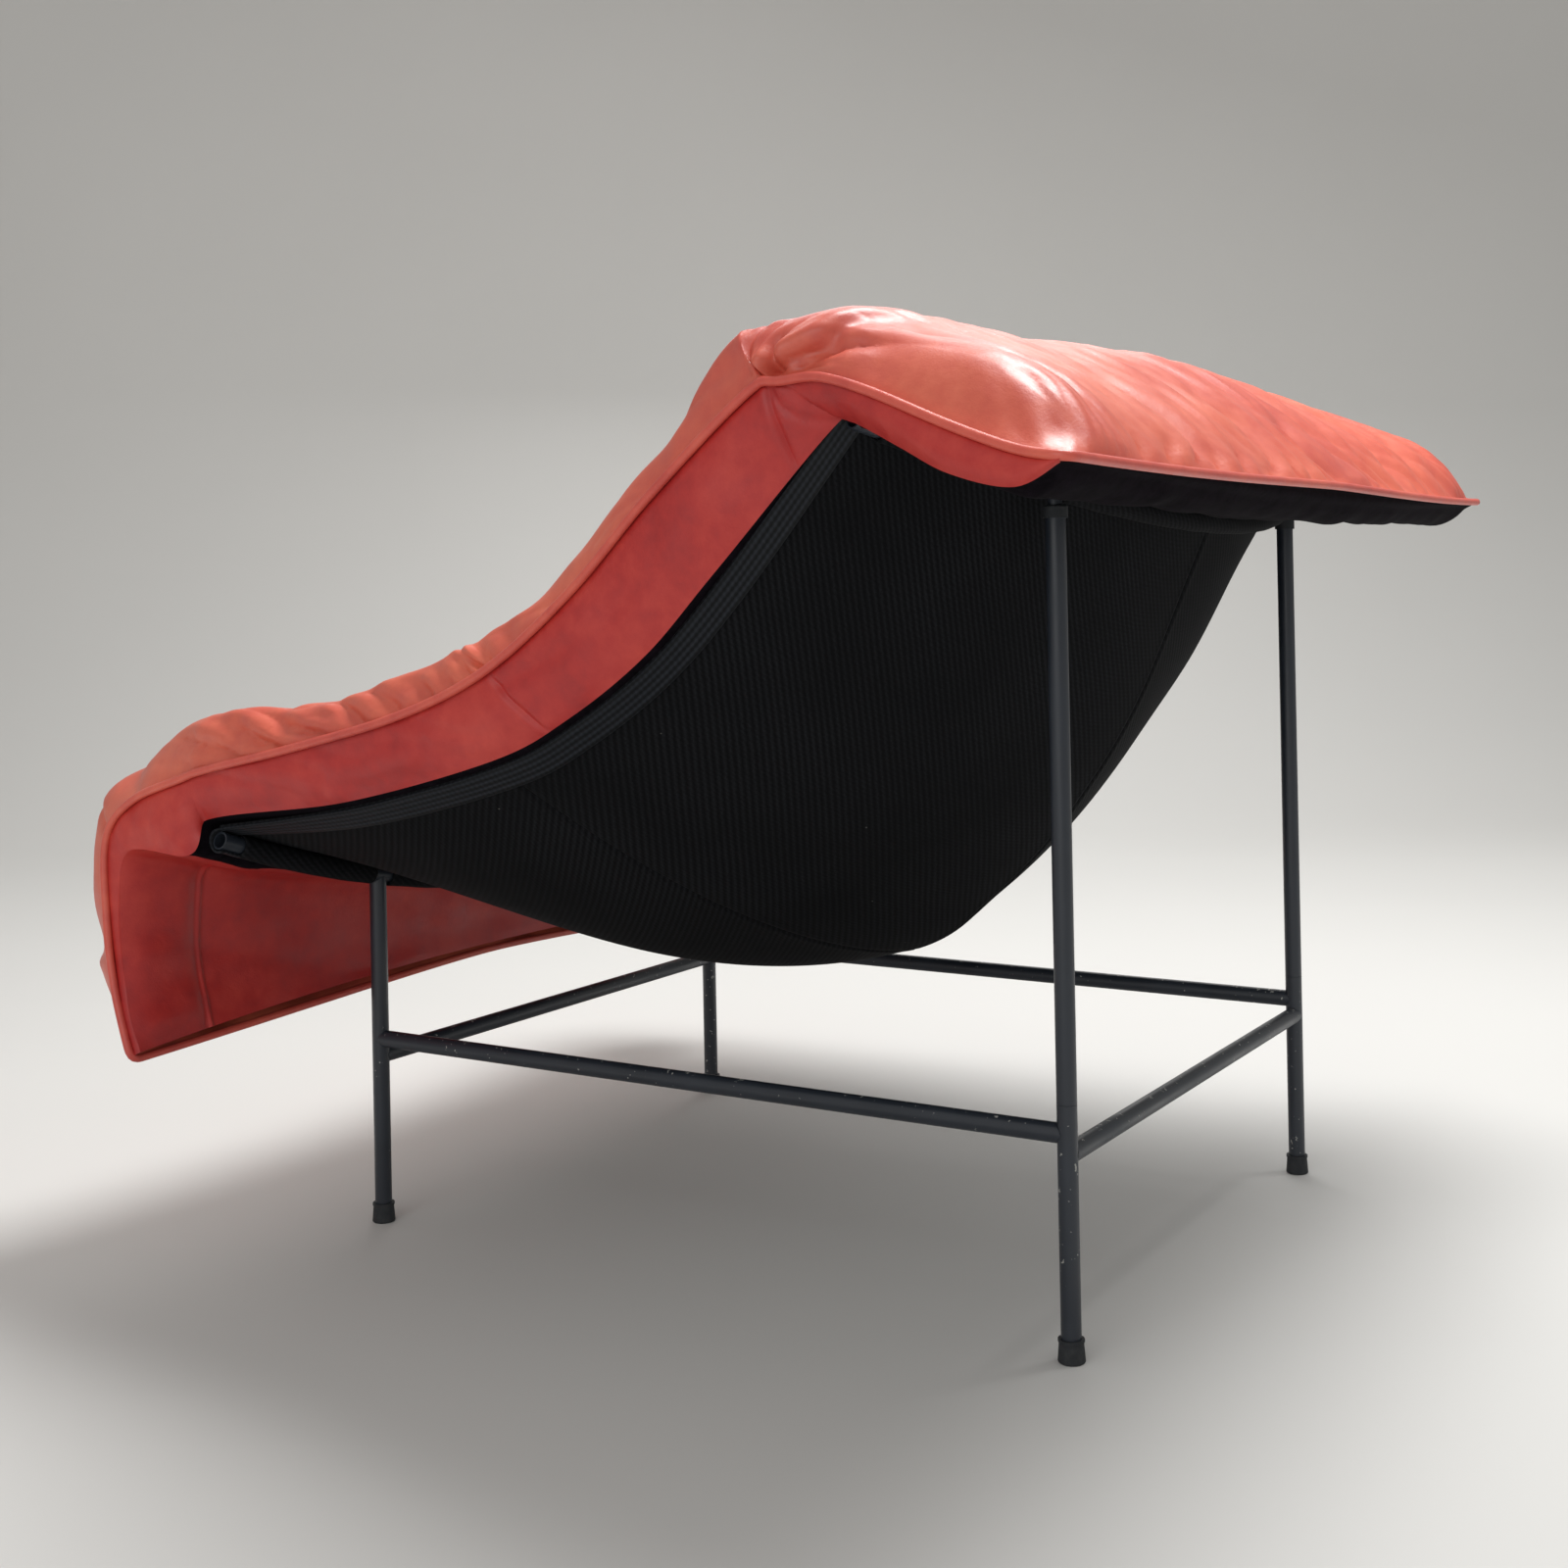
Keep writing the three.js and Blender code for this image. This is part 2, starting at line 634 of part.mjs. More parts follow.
function addFacing(name, from, to, side) {
  const lines = sectionLines(from, to);
  const under = skin + contactGap;
  const wall = (t) => lines.map((line) => [belowTop(line, side * t, under), aboveUnder(line, side * t, 0)]);
  addPiece(name, sheetBetween(wall(1 - facingShare), wall(1)), sideLeather);
}

function addFacings() {
  for (const [name, side] of [['left', 1], ['right', -1]]) {
    addFacing(`seat_facing_${name}`, frontSeamIndex, seatSeamIndex, side);
    addFacing(`back_facing_${name}`, seatSeamIndex, ridgeIndex, side);
    addFacing(`head_facing_${name}`, ridgeIndex, rearEdgeIndex, side);
  }
}

// Underside: cloth lining on the seat, back and head, leather inside the front flap

function addUnderside() {
  const clothSheet = (from, to) => padSheet(sectionLines(from, to), insideColumns,
    (l, t) => aboveUnder(l, t, liningThickness), (l, t) => aboveUnder(l, t, 0));
  addPiece('seat_and_back_lining', clothSheet(frontSeamIndex, ridgeIndex), lining);
  addPiece('head_lining', clothSheet(ridgeIndex, rearEdgeIndex), lining);

  const lines = sectionLines(flapBottomIndex, frontSeamIndex);
  const stripEdge = 1 - stripWidth / barHalfSpan;
  const seam = contactGap / barHalfSpan;
  const leatherSheet = (places) => padSheet(lines, places,
    (l, t) => aboveUnder(l, t, leatherThickness), (l, t) => aboveUnder(l, t, 0));
  const middle = columns.filter((t) => Math.abs(t) < stripEdge - seam);
  addPiece('flap_inner_panel', leatherSheet([-stripEdge + seam, ...middle, stripEdge - seam]), sideLeather);
  const strip = [stripEdge, ...columns.filter((t) => t > stripEdge)];
  addPiece('flap_inner_strip_left', leatherSheet(strip), sideLeather);
  addPiece('flap_inner_strip_right', leatherSheet(strip.map((t) => -t).reverse()), sideLeather);
}

// Piping round the edge of the pad, with one step for each point of the leather's edge

class PipingPath extends THREE.CatmullRomCurve3 {
  getUtoTmapping(share) {
    return share;
  }
}

function pipingRun(points) {
  return new THREE.ExtrudeGeometry(tubeShape(pipingDiameter / 2, 0, pipingSides),
    { extrudePath: new PipingPath(points), steps: points.length - 1, bevelEnabled: false });
}

function addPiping() {
  const stand = pipingDiameter / 2 + contactGap;
  for (const [name, side] of [['left', 1], ['right', -1]]) {
    const points = padLines.map((line) => {
      const point = belowTop(line, side, 0);
      point.x += side * stand;
      return point;
    });
    addPiece(`piping_${name}`, pipingRun(points), sideLeather);
  }
  const across = (line, dy, dz) => columns.map((t) => {
    const point = belowTop(line, t, 0);
    point.y += dy * stand;
    point.z += dz * stand;
    return point;
  });
  addPiece('piping_flap_bottom', pipingRun(across(flapBottomIndex, 0, -1)), sideLeather);
  addPiece('piping_rear_edge', pipingRun(across(rearEdgeIndex, 1, 0)), sideLeather);
}

for (const [side, x] of [['left', legX], ['right', -legX]]) {
  addFoot(`front_foot_${side}`, x, -legY);
  addFoot(`rear_foot_${side}`, x, legY);
  addFrontLeg(`front_leg_${side}`, x);
  addRearLeg(side, x);
  addSideRail(`side_rail_${side}`, x);
  addPostFitting(side, x);
}
addEndRail('front_rail', -legY);
addEndRail('rear_rail', legY);
addBarsAndHems();
addSling();
addTopsAndFillings();
addFacings();
addUnderside();
addPiping();

// The origin is on the floor, under the middle of the chair's length

const extent = new THREE.Box3().setFromObject(pieces);
pieces.position.y = -(extent.min.y + extent.max.y) / 2;
const chair = new THREE.Group();
chair.add(pieces);

export default chair;
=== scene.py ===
"""Dresses a leather sling lounge chair: steel tube base, canvas sling and one draped leather pad.

Sizes are in millimetres, as an upholsterer would write them, and become metres when a mesh is made.
+Z is up, the sitter faces -Y, and the chair is mirrored about X = 0.
"""

from __future__ import annotations

import json
import logging
import math
from dataclasses import dataclass
from enum import Enum
from typing import Callable, Sequence

import bmesh
import bpy
import numpy as np
from bpy.types import Material, NodeSocket, NodeTree, Object
from mathutils import Matrix, Vector

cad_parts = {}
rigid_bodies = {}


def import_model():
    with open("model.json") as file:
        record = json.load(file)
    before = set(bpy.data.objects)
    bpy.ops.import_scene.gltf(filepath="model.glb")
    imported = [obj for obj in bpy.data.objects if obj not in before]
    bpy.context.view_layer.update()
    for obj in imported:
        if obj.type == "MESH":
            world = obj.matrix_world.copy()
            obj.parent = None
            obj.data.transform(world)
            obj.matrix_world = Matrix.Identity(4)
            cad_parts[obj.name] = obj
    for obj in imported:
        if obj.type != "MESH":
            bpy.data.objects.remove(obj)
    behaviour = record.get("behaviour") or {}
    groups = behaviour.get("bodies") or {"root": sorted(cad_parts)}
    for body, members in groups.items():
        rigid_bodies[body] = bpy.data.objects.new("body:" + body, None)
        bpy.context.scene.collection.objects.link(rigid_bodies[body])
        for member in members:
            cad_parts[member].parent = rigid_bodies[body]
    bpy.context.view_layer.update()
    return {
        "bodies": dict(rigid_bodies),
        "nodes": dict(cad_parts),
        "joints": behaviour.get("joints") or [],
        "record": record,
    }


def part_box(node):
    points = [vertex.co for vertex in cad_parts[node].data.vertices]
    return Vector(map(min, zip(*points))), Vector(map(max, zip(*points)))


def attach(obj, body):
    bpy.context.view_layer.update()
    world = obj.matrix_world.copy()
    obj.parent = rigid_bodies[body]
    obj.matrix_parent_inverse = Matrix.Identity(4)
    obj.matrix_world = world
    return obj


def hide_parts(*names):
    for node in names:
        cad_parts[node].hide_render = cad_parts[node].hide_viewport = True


LOG = logging.getLogger("lounge_chair")
MM = 0.001
SIDES = ((1, "left"), (-1, "right"))
Array = np.ndarray


# Small tools for materials


def linear(hex_colour: str) -> tuple[float, ...]:
    """Turns an sRGB colour into Blender's linear colour.

    Args:
        hex_colour: The colour as "#rrggbb".

    Returns:
        Linear red, green, blue and alpha.
    """
    channels = [int(hex_colour[i : i + 2], 16) / 255 for i in (1, 3, 5)]
    bent = [c / 12.92 if c <= 0.04045 else ((c + 0.055) / 1.055) ** 2.4 for c in channels]
    return (*bent, 1.0)


def per_metre(size: float) -> float:
    """Returns the texture scale whose pattern repeats after a size in millimetres."""
    return 1 / (size * MM)


def ribs_per_metre(size: float) -> float:
    """Returns the scale of a wave texture whose ribs are a size in millimetres apart."""
    return per_metre(size) / 20 * math.pi


def add_node(
    tree: NodeTree, kind: str, inputs: dict, output: int | str | None = 0, **settings: object
) -> NodeSocket | None:
    """Adds one node with its settings, values and links.

    Args:
        tree: The node tree that the node joins.
        kind: The node's Blender type.
        inputs: Input names or places, each with a value or the output that feeds it.
        output: The output that other nodes read, or None where the node has none.
        **settings: Properties of the node itself. ramp_stops fills a colour ramp.

    Returns:
        That output.
    """
    node = tree.nodes.new(kind)
    stops = settings.pop("ramp_stops", ())
    for name, value in settings.items():
        setattr(node, name, value)
    if stops:
        elements = node.color_ramp.elements
        while len(elements) < len(stops):
            elements.new(1.0)
        for element, (place, colour) in zip(elements, stops):
            element.position, element.color = place, colour
    for name, value in inputs.items():
        if isinstance(value, NodeSocket):
            tree.links.new(value, node.inputs[name])
        else:
            node.inputs[name].default_value = value
    return None if output is None else node.outputs[output]


def blank_material(name: str) -> tuple[Material, NodeTree]:
    """Makes a material with an empty node tree.

    Args:
        name: The material's name.

    Returns:
        The material and its tree.
    """
    material = bpy.data.materials.new(name)
    material.use_nodes = True
    material.node_tree.nodes.clear()
    return material, material.node_tree


def close_material(material: Material, surface: dict) -> Material:
    """Adds the surface shader and the output.

    Args:
        material: The material, whose tree holds its patterns.
        surface: The inputs of the Principled shader.

    Returns:
        The finished material.
    """
    shader = add_node(material.node_tree, "ShaderNodeBsdfPrincipled", surface)
    add_node(material.node_tree, "ShaderNodeOutputMaterial", {"Surface": shader}, None)
    return material


# Finishes, each named for the real material


@dataclass(frozen=True)
class EnamelledSteel:
    """Stoved enamel on steel tube: an even blue-black satin, nicked to grey where it has been knocked."""

    enamel: str = "#1c2027"
    worn_enamel: str = "#2d333c"
    bare_steel: str = "#9a9a96"
    roughness: float = 0.36
    cloud_mm: float = 60.0
    chip_mm: float = 5.0
    knocked_region_mm: float = 95.0
    orange_peel_mm: float = 1.6
    low_wear: float = 0.075
    topside_wear: float = 0.06
    knock_wear: float = 0.06

    def build(self) -> Material:
        """Builds the material. It is chipped most near the floor, on upper sides and in knocked regions.

        Returns:
            The finished material.
        """
        material, tree = blank_material("stoved_enamel_steel")
        place = add_node(tree, "ShaderNodeTexCoord", {}, "Object")
        cloudy, chips, region, peel = (
            add_node(tree, "ShaderNodeTexNoise", {"Vector": place, "Scale": per_metre(size), **more}, "Fac")
            for size, more in (
                (self.cloud_mm, {"Detail": 3.0}), (self.chip_mm, {"Detail": 2.5, "Roughness": 0.65}),
                (self.knocked_region_mm, {"Detail": 1.0}), (self.orange_peel_mm, {"Detail": 1.0}),
            )
        )
        normal = add_node(tree, "ShaderNodeNewGeometry", {}, "Normal")
        height, upward = (
            add_node(tree, "ShaderNodeSeparateXYZ", {"Vector": vector}, "Z") for vector in (place, normal)
        )
        low, topside, knocked = (
            add_node(
                tree, "ShaderNodeMapRange",
                {"Value": value, "From Min": start, "From Max": end, "To Max": most},
            )
            for value, start, end, most in (
                (height, 0.32, 0.16, self.low_wear), (upward, 0.35, 0.9, self.topside_wear),
                (region, 0.5, 0.7, self.knock_wear),
            )
        )
        wear = add_node(tree, "ShaderNodeMath", {0: low, 1: topside}, operation="ADD")
        wear = add_node(tree, "ShaderNodeMath", {0: wear, 1: knocked}, operation="ADD")
        edge = add_node(tree, "ShaderNodeMath", {0: chips, 1: wear}, operation="ADD")
        chipped = add_node(
            tree, "ShaderNodeMapRange", {"Value": edge, "From Min": 0.775, "From Max": 0.795}
        )
        colour = linear(self.enamel)
        for share, other in ((cloudy, self.worn_enamel), (chipped, self.bare_steel)):
            colour = add_node(
                tree, "ShaderNodeMix", {"Factor": share, 6: colour, 7: linear(other)}, 2, data_type="RGBA"
            )
        pit = add_node(tree, "ShaderNodeMath", {0: chipped, 1: -2.5}, operation="MULTIPLY")
        relief = add_node(tree, "ShaderNodeMath", {0: peel, 1: pit}, operation="ADD")
        bump = add_node(
            tree, "ShaderNodeBump", {"Height": relief, "Strength": 0.25, "Distance": 0.1 * MM}
        )
        gloss = add_node(
            tree, "ShaderNodeMapRange",
            {"Value": cloudy, "From Min": 0.3, "From Max": 0.7,
             "To Min": self.roughness - 0.05, "To Max": self.roughness + 0.12},
        )
        return close_material(material, {"Base Color": colour, "Roughness": gloss, "Normal": bump})


@dataclass(frozen=True)
class MouldedRubber:
    """Moulded black rubber: dull and slightly dusty, with no sharp glint."""

    body: str = "#1d2024"
    dust: str = "#3d3e3f"
    roughness: float = 0.72
    dust_mm: float = 7.0

    def build(self) -> Material:
        """Builds the material.

        Returns:
            The finished material.
        """
        material, tree = blank_material("moulded_rubber")
        place = add_node(tree, "ShaderNodeTexCoord", {}, "Object")
        dust = add_node(
            tree, "ShaderNodeTexNoise",
            {"Vector": place, "Scale": per_metre(self.dust_mm), "Detail": 4.0, "Roughness": 0.6}, "Fac",
        )
        amount = add_node(
            tree, "ShaderNodeMapRange", {"Value": dust, "From Min": 0.45, "From Max": 0.75, "To Max": 0.45}
        )
        colour = add_node(
            tree, "ShaderNodeMix", {"Factor": amount, 6: linear(self.body), 7: linear(self.dust)}, 2,
            data_type="RGBA",
        )
        bump = add_node(tree, "ShaderNodeBump", {"Height": dust, "Strength": 0.3, "Distance": 0.15 * MM})
        surface = {"Base Color": colour, "Roughness": self.roughness, "Normal": bump}
        return close_material(material, surface)


@dataclass(frozen=True)
class CottonCanvas:
    """Black cotton twill canvas: matt and nearly black, with fine slanting ribs and a faint grey bloom."""

    yarn: str = "#090a0c"
    worn_yarn: str = "#1c1d20"
    lint: str = "#77766f"
    # The real ribs are about 1.5 mm apart. They are drawn at 2.8 mm, so that they show in the render.
    rib_mm: float = 2.8
    pick_mm: float = 2.0
    fuzz_mm: float = 1.4
    patch_mm: float = 140.0
    lint_mm: float = 42.0
    slant: float = math.radians(45)
    roughness: float = 0.95
    specular: float = 0.12

    def build(self) -> Material:
        """Builds the material. The ribs follow the cloth, whose UV map is in metres.

        Returns:
            The finished material.
        """
        material, tree = blank_material("woven_cotton_canvas")
        cloth, place = (add_node(tree, "ShaderNodeTexCoord", {}, kind) for kind in ("UV", "Object"))
        turned = add_node(tree, "ShaderNodeMapping", {"Vector": cloth, "Rotation": (0.0, 0.0, self.slant)})
        ribs, picks = (
            add_node(
                tree, "ShaderNodeTexWave",
                {"Vector": vector, "Scale": ribs_per_metre(size), "Distortion": distortion,
                 "Detail Scale": detail_scale},
                "Fac", bands_direction=way,
            )
            for vector, size, distortion, detail_scale, way in (
                (turned, self.rib_mm, 0.8, 3.0, "X"), (cloth, self.pick_mm, 2.0, 2.0, "Y"),
            )
        )
        picks = add_node(tree, "ShaderNodeMath", {0: picks, 1: 0.3}, operation="MULTIPLY")
        weave = add_node(tree, "ShaderNodeMath", {0: ribs, 1: picks}, operation="ADD")
        shade = weave
        for size in (self.fuzz_mm, self.patch_mm):
            cloudy = add_node(
                tree, "ShaderNodeTexNoise", {"Vector": place, "Scale": per_metre(size), "Detail": 3.0}, "Fac"
            )
            shade = add_node(tree, "ShaderNodeMath", {0: shade, 1: cloudy}, operation="MULTIPLY")
        tone = add_node(tree, "ShaderNodeMapRange", {"Value": shade, "From Min": 0.04, "From Max": 0.42})
        specks = add_node(
            tree, "ShaderNodeTexVoronoi", {"Vector": place, "Scale": per_metre(self.lint_mm)}, "Distance"
        )
        speck = add_node(
            tree, "ShaderNodeMapRange", {"Value": specks, "From Min": 0.022, "From Max": 0.012, "To Max": 0.6}
        )
        colour = linear(self.yarn)
        for share, other in ((tone, self.worn_yarn), (speck, self.lint)):
            colour = add_node(
                tree, "ShaderNodeMix", {"Factor": share, 6: colour, 7: linear(other)}, 2, data_type="RGBA"
            )
        bump = add_node(tree, "ShaderNodeBump", {"Height": weave, "Strength": 0.55, "Distance": 0.35 * MM})
        return close_material(material, {
            "Base Color": colour, "Roughness": self.roughness, "Normal": bump,
            "Specular IOR Level": self.specular,
        })


@dataclass(frozen=True)
class RibbedWebbing:
    """Woven polyester webbing: a tight black tape with ribs along its length and a slight shine."""

    yarn: str = "#0c0e11"
    rib_top: str = "#272a30"
    rib_mm: float = 2.3
    pick_mm: float = 2.6
    roughness: float = 0.62
    specular: float = 0.16

    def build(self) -> Material:
        """Builds the material. The ribs follow the tape, whose UV map is in metres.

        Returns:
            The finished material.
        """
        material, tree = blank_material("ribbed_webbing")
        cloth = add_node(tree, "ShaderNodeTexCoord", {}, "UV")
        ribs, picks = (
            add_node(
                tree, "ShaderNodeTexWave",
                {"Vector": cloth, "Scale": ribs_per_metre(size), "Distortion": distortion}, "Fac",
                bands_direction=way,
            )
            for size, distortion, way in ((self.rib_mm, 0.0, "X"), (self.pick_mm, 0.8, "Y"))
        )
        picks = add_node(tree, "ShaderNodeMath", {0: picks, 1: 0.35}, operation="MULTIPLY")
        relief = add_node(tree, "ShaderNodeMath", {0: ribs, 1: picks}, operation="ADD")
        tone = add_node(tree, "ShaderNodeMapRange", {"Value": relief, "From Min": 0.25, "From Max": 1.3})
        colour = add_node(
            tree, "ShaderNodeMix", {"Factor": tone, 6: linear(self.yarn), 7: linear(self.rib_top)}, 2,
            data_type="RGBA",
        )
        bump = add_node(tree, "ShaderNodeBump", {"Height": relief, "Strength": 0.7, "Distance": 0.5 * MM})
        return close_material(material, {
            "Base Color": colour, "Roughness": self.roughness, "Normal": bump,
            "Specular IOR Level": self.specular,
        })


@dataclass(frozen=True)
class Leather:
    """Drum-dyed upholstery leather: soft pebbled grain, fine creases and a low waxy sheen."""

    name: str
    flesh: str
    highlight: str
    hollow: str
    roughness: float = 0.42
    pebble_mm: float = 1.5
    crease_mm: float = 9.0
    mottle_mm: float = 16.0
    cloud_mm: float = 170.0
    coat: float = 0.15
    coat_roughness: float = 0.24
    scuffed: bool = False
    scuff: str = "#4a1f1c"
    scuff_mm: float = 230.0

    def build(self) -> Material:
        """Builds the material.

        Returns:
            The finished material.
        """
        material, tree = blank_material(self.name)
        place = add_node(tree, "ShaderNodeTexCoord", {}, "Object")
        clouds, mottle, creases = (
            add_node(
                tree, "ShaderNodeTexNoise",
                {"Vector": place, "Scale": per_metre(size), "Detail": detail, "Roughness": rough}, "Fac",
            )
            for size, detail, rough in (
                (self.cloud_mm, 4.0, 0.55), (self.mottle_mm, 5.0, 0.6), (self.crease_mm, 6.0, 0.68),
            )
        )
        faint = add_node(tree, "ShaderNodeMath", {0: mottle, 1: 0.5}, operation="MULTIPLY")
        tone = add_node(tree, "ShaderNodeMath", {0: clouds, 1: faint}, operation="ADD")
        share = add_node(tree, "ShaderNodeMapRange", {"Value": tone, "From Min": 0.5, "From Max": 1.0})
        stops = [(0.0, linear(self.hollow)), (0.5, linear(self.flesh)), (1.0, linear(self.highlight))]
        colour = add_node(tree, "ShaderNodeValToRGB", {"Fac": share}, ramp_stops=stops)
        if self.scuffed:
            colour = self.scuffs(tree, place, colour)
        pebbles = add_node(
            tree, "ShaderNodeTexVoronoi",
            {"Vector": place, "Scale": per_metre(self.pebble_mm), "Smoothness": 0.6}, "Distance",
            feature="SMOOTH_F1",
        )
        fine = add_node(tree, "ShaderNodeBump", {"Height": pebbles, "Strength": 0.22, "Distance": 0.25 * MM})
        bump = add_node(
            tree, "ShaderNodeBump",
            {"Height": creases, "Strength": 0.3, "Distance": 1.2 * MM, "Normal": fine},
        )
        gloss = add_node(
            tree, "ShaderNodeMapRange",
            {"Value": mottle, "From Min": 0.3, "From Max": 0.7,
             "To Min": self.roughness - 0.05, "To Max": self.roughness + 0.07},
        )
        return close_material(material, {
            "Base Color": colour, "Roughness": gloss, "Normal": bump, "Coat Weight": self.coat,
            "Coat Roughness": self.coat_roughness,
        })

    def scuffs(self, tree: NodeTree, place: NodeSocket, colour: NodeSocket) -> NodeSocket:
        """Darkens a few small rubbed spots.

        Args:
            tree: The material's tree.
            place: The coordinates.
            colour: The leather's colour so far.

        Returns:
            The colour with its scuffs.
        """
        spots = add_node(
            tree, "ShaderNodeTexVoronoi", {"Vector": place, "Scale": per_metre(self.scuff_mm)}, "Distance"
        )
        spot = add_node(
            tree, "ShaderNodeMapRange", {"Value": spots, "From Min": 0.016, "From Max": 0.008, "To Max": 0.7}
        )
        mixed = {"Factor": spot, 6: colour, 7: linear(self.scuff)}
        return add_node(tree, "ShaderNodeMix", mixed, 2, data_type="RGBA")


@dataclass(frozen=True)
class BrushedLining:
    """Brushed cotton lining: a purplish black nap that swallows light."""

    nap: str = "#070508"
    bloom: str = "#171118"
    nap_mm: float = 11.0
    roughness: float = 0.97
    specular: float = 0.06

    def build(self) -> Material:
        """Builds the material.

        Returns:
            The finished material.
        """
        material, tree = blank_material("brushed_lining")
        place = add_node(tree, "ShaderNodeTexCoord", {}, "Object")
        nap = add_node(
            tree, "ShaderNodeTexNoise",
            {"Vector": place, "Scale": per_metre(self.nap_mm), "Detail": 7.0, "Roughness": 0.75}, "Fac",
        )
        amount = add_node(tree, "ShaderNodeMapRange", {"Value": nap, "From Min": 0.35, "From Max": 0.7})
        colour = add_node(
            tree, "ShaderNodeMix", {"Factor": amount, 6: linear(self.nap), 7: linear(self.bloom)}, 2,
            data_type="RGBA",
        )
        bump = add_node(tree, "ShaderNodeBump", {"Height": nap, "Strength": 0.6, "Distance": 0.8 * MM})
        return close_material(material, {
            "Base Color": colour, "Roughness": self.roughness, "Normal": bump,
            "Specular IOR Level": self.specular,
        })


# Small tools for numbers


def smooth_at(values: Sequence | Array, place: Array) -> Array:
    """Reads a smooth curve through the rows of a table.

    Args:
        values: The table, with one row for each whole place.
        place: Where to read, from 0 to the last row.

    Returns:
        The curve's values.
    """
    table, place = np.asarray(values, float), np.asarray(place, float)
    last = len(table) - 1
    index = np.clip(np.floor(place).astype(int), 0, last - 1)
    part = (place - index)[(...,) + (None,) * (table.ndim - 1)]
    a, b, c, d = (table[np.clip(index + step, 0, last)] for step in (-1, 0, 1, 2))
    bend = 2 * a - 5 * b + 4 * c - d
    twist = 3 * (b - c) + d - a
    return b + 0.5 * part * (c - a + part * (bend + part * twist))


def mix(low: Array, high: Array, share: Array) -> Array:
    """Returns the value that lies a share of the way from low to high."""
    return low + (high - low) * share


def unit(vectors: Array) -> Array:
    """Returns the vectors at length 1."""
    return vectors / np.maximum(np.linalg.norm(vectors, axis=-1, keepdims=True), 1e-9)


def smooth_step(low: float, high: float, value: Array) -> Array:
    """Returns 0 below low and 1 above high, with a soft rise between them."""
    part = np.clip((value - low) / (high - low), 0, 1)
    return part * part * (3 - 2 * part)


def bell(distance: Array, width: float) -> Array:
    """Returns a soft hump that is 1 at distance 0 and falls off over width."""
    return np.exp(-((distance / width) ** 2))


def puffs(phase: Array, sharp: float = 0.7) -> Array:
    """Returns rounded puffs with sharp valleys at whole phases, from -0.65 to 0.35."""
    return np.abs(np.sin(math.pi * phase)) ** sharp - 0.65


def arrays(*values: Array | float) -> list[Array]:
    """Returns the values as arrays of one shape."""
    return np.broadcast_arrays(*(np.asarray(value, float) for value in values))


def travelled(points: Array, axis: int = 0) -> Array:
    """Returns how far each point of a grid lies along its column, or with axis 1 along its row."""
    steps = np.linalg.norm(np.diff(points, axis=axis), axis=-1)
    return np.cumsum(np.insert(steps, 0, 0.0, axis=axis), axis)


def facing_out(points: Array) -> Array:
    """Returns the normals of a grid of points."""
    return unit(np.cross(np.gradient(points, axis=1), np.gradient(points, axis=0)))


def finer(places: Array) -> Array:
    """Returns the places with one more between each two."""
    return np.unique(np.concatenate([places, (places[1:] + places[:-1]) / 2]))


def merged(gap: float, *places: Array) -> Array:
    """Returns all places in order, without those that follow another by no more than a gap."""
    joined = np.unique(np.round(np.concatenate(places), 5))
    return joined[np.concatenate([[True], np.diff(joined) > gap])]


def around(grid: Array) -> Array:
    """Returns the sum of each point's four neighbours in a grid."""
    padded = np.pad(grid, ((1, 1), (1, 1), (0, 0)), mode="edge")
    return padded[:-2, 1:-1] + padded[2:, 1:-1] + padded[1:-1, :-2] + padded[1:-1, 2:]


def beside_path(a: Array, b: Array, path: Sequence) -> tuple[Array, Array]:
    """Measures how points lie to a bent line.

    Args:
        a: The first coordinate of each point in millimetres.
        b: The second coordinate.
        path: The line's corners in the same coordinates.

    Returns:
        The distance from the line, and the share of the line that is passed there.
    """
    place, path = np.stack([a, b], -1), np.asarray(path, float)
    away, share = np.full(a.shape, 1e3), np.zeros(a.shape)
    for i, (start, end) in enumerate(zip(path, path[1:])):
        leg = end - start
        along = np.clip(((place - start) @ leg) / (leg @ leg), 0, 1)
        distance = np.linalg.norm(place - start - along[..., None] * leg, axis=-1)
        share = np.where(distance < away, (i + along) / (len(path) - 1), share)
        away = np.minimum(away, distance)
    return away, share


def folds(a: Array, b: Array, table: Sequence) -> Array:
    """Works out sharp folds with soft shoulders, which fade out at their far ends.

    Args:
        a: The first coordinate of each point in millimetres.
        b: The second coordinate.
        table: The corners, the depth and the width of each fold.

    Returns:
        Heights in millimetres.
    """
    height = np.zeros(a.shape)
    for path, deep, wide in table:
        away, share = beside_path(a, b, path)
        strength = deep * smooth_step(-0.15, 0.2, share) * smooth_step(1.02, 0.45, share)
        height += strength * (0.45 * bell(away - 2.4 * wide, 1.5 * wide) - np.exp(-away / wide))
    return height


# Small tools for meshes


def grid_faces(rows: int, columns: int, start: int = 0) -> list[tuple[int, ...]]:
    """Lists the faces of a grid of points.

    Args:
        rows: Rows of points.
        columns: Points in a row.
        start: The first point's number.

    Returns:
        Four point numbers for each face.
    """
    corners = [start + r * columns + c for r in range(rows - 1) for c in range(columns - 1)]
    return [(corner, corner + 1, corner + columns + 1, corner + columns) for corner in corners]


def make_object(name: str, points: Array, faces: Sequence[Sequence[int]]) -> Object:
    """Makes a smooth-shaded mesh object in the scene.

    Args:
        name: The piece's name.
        points: Its points in millimetres.
        faces: Its faces as point numbers.

    Returns:
        The new object.
    """
    mesh = bpy.data.meshes.new(name)
    mesh.from_pydata((np.asarray(points).reshape(-1, 3) * MM).tolist(), [], faces)
    mesh.update()
    mesh.shade_smooth()
    piece = bpy.data.objects.new(name, mesh)
    bpy.context.scene.collection.objects.link(piece)
    return piece


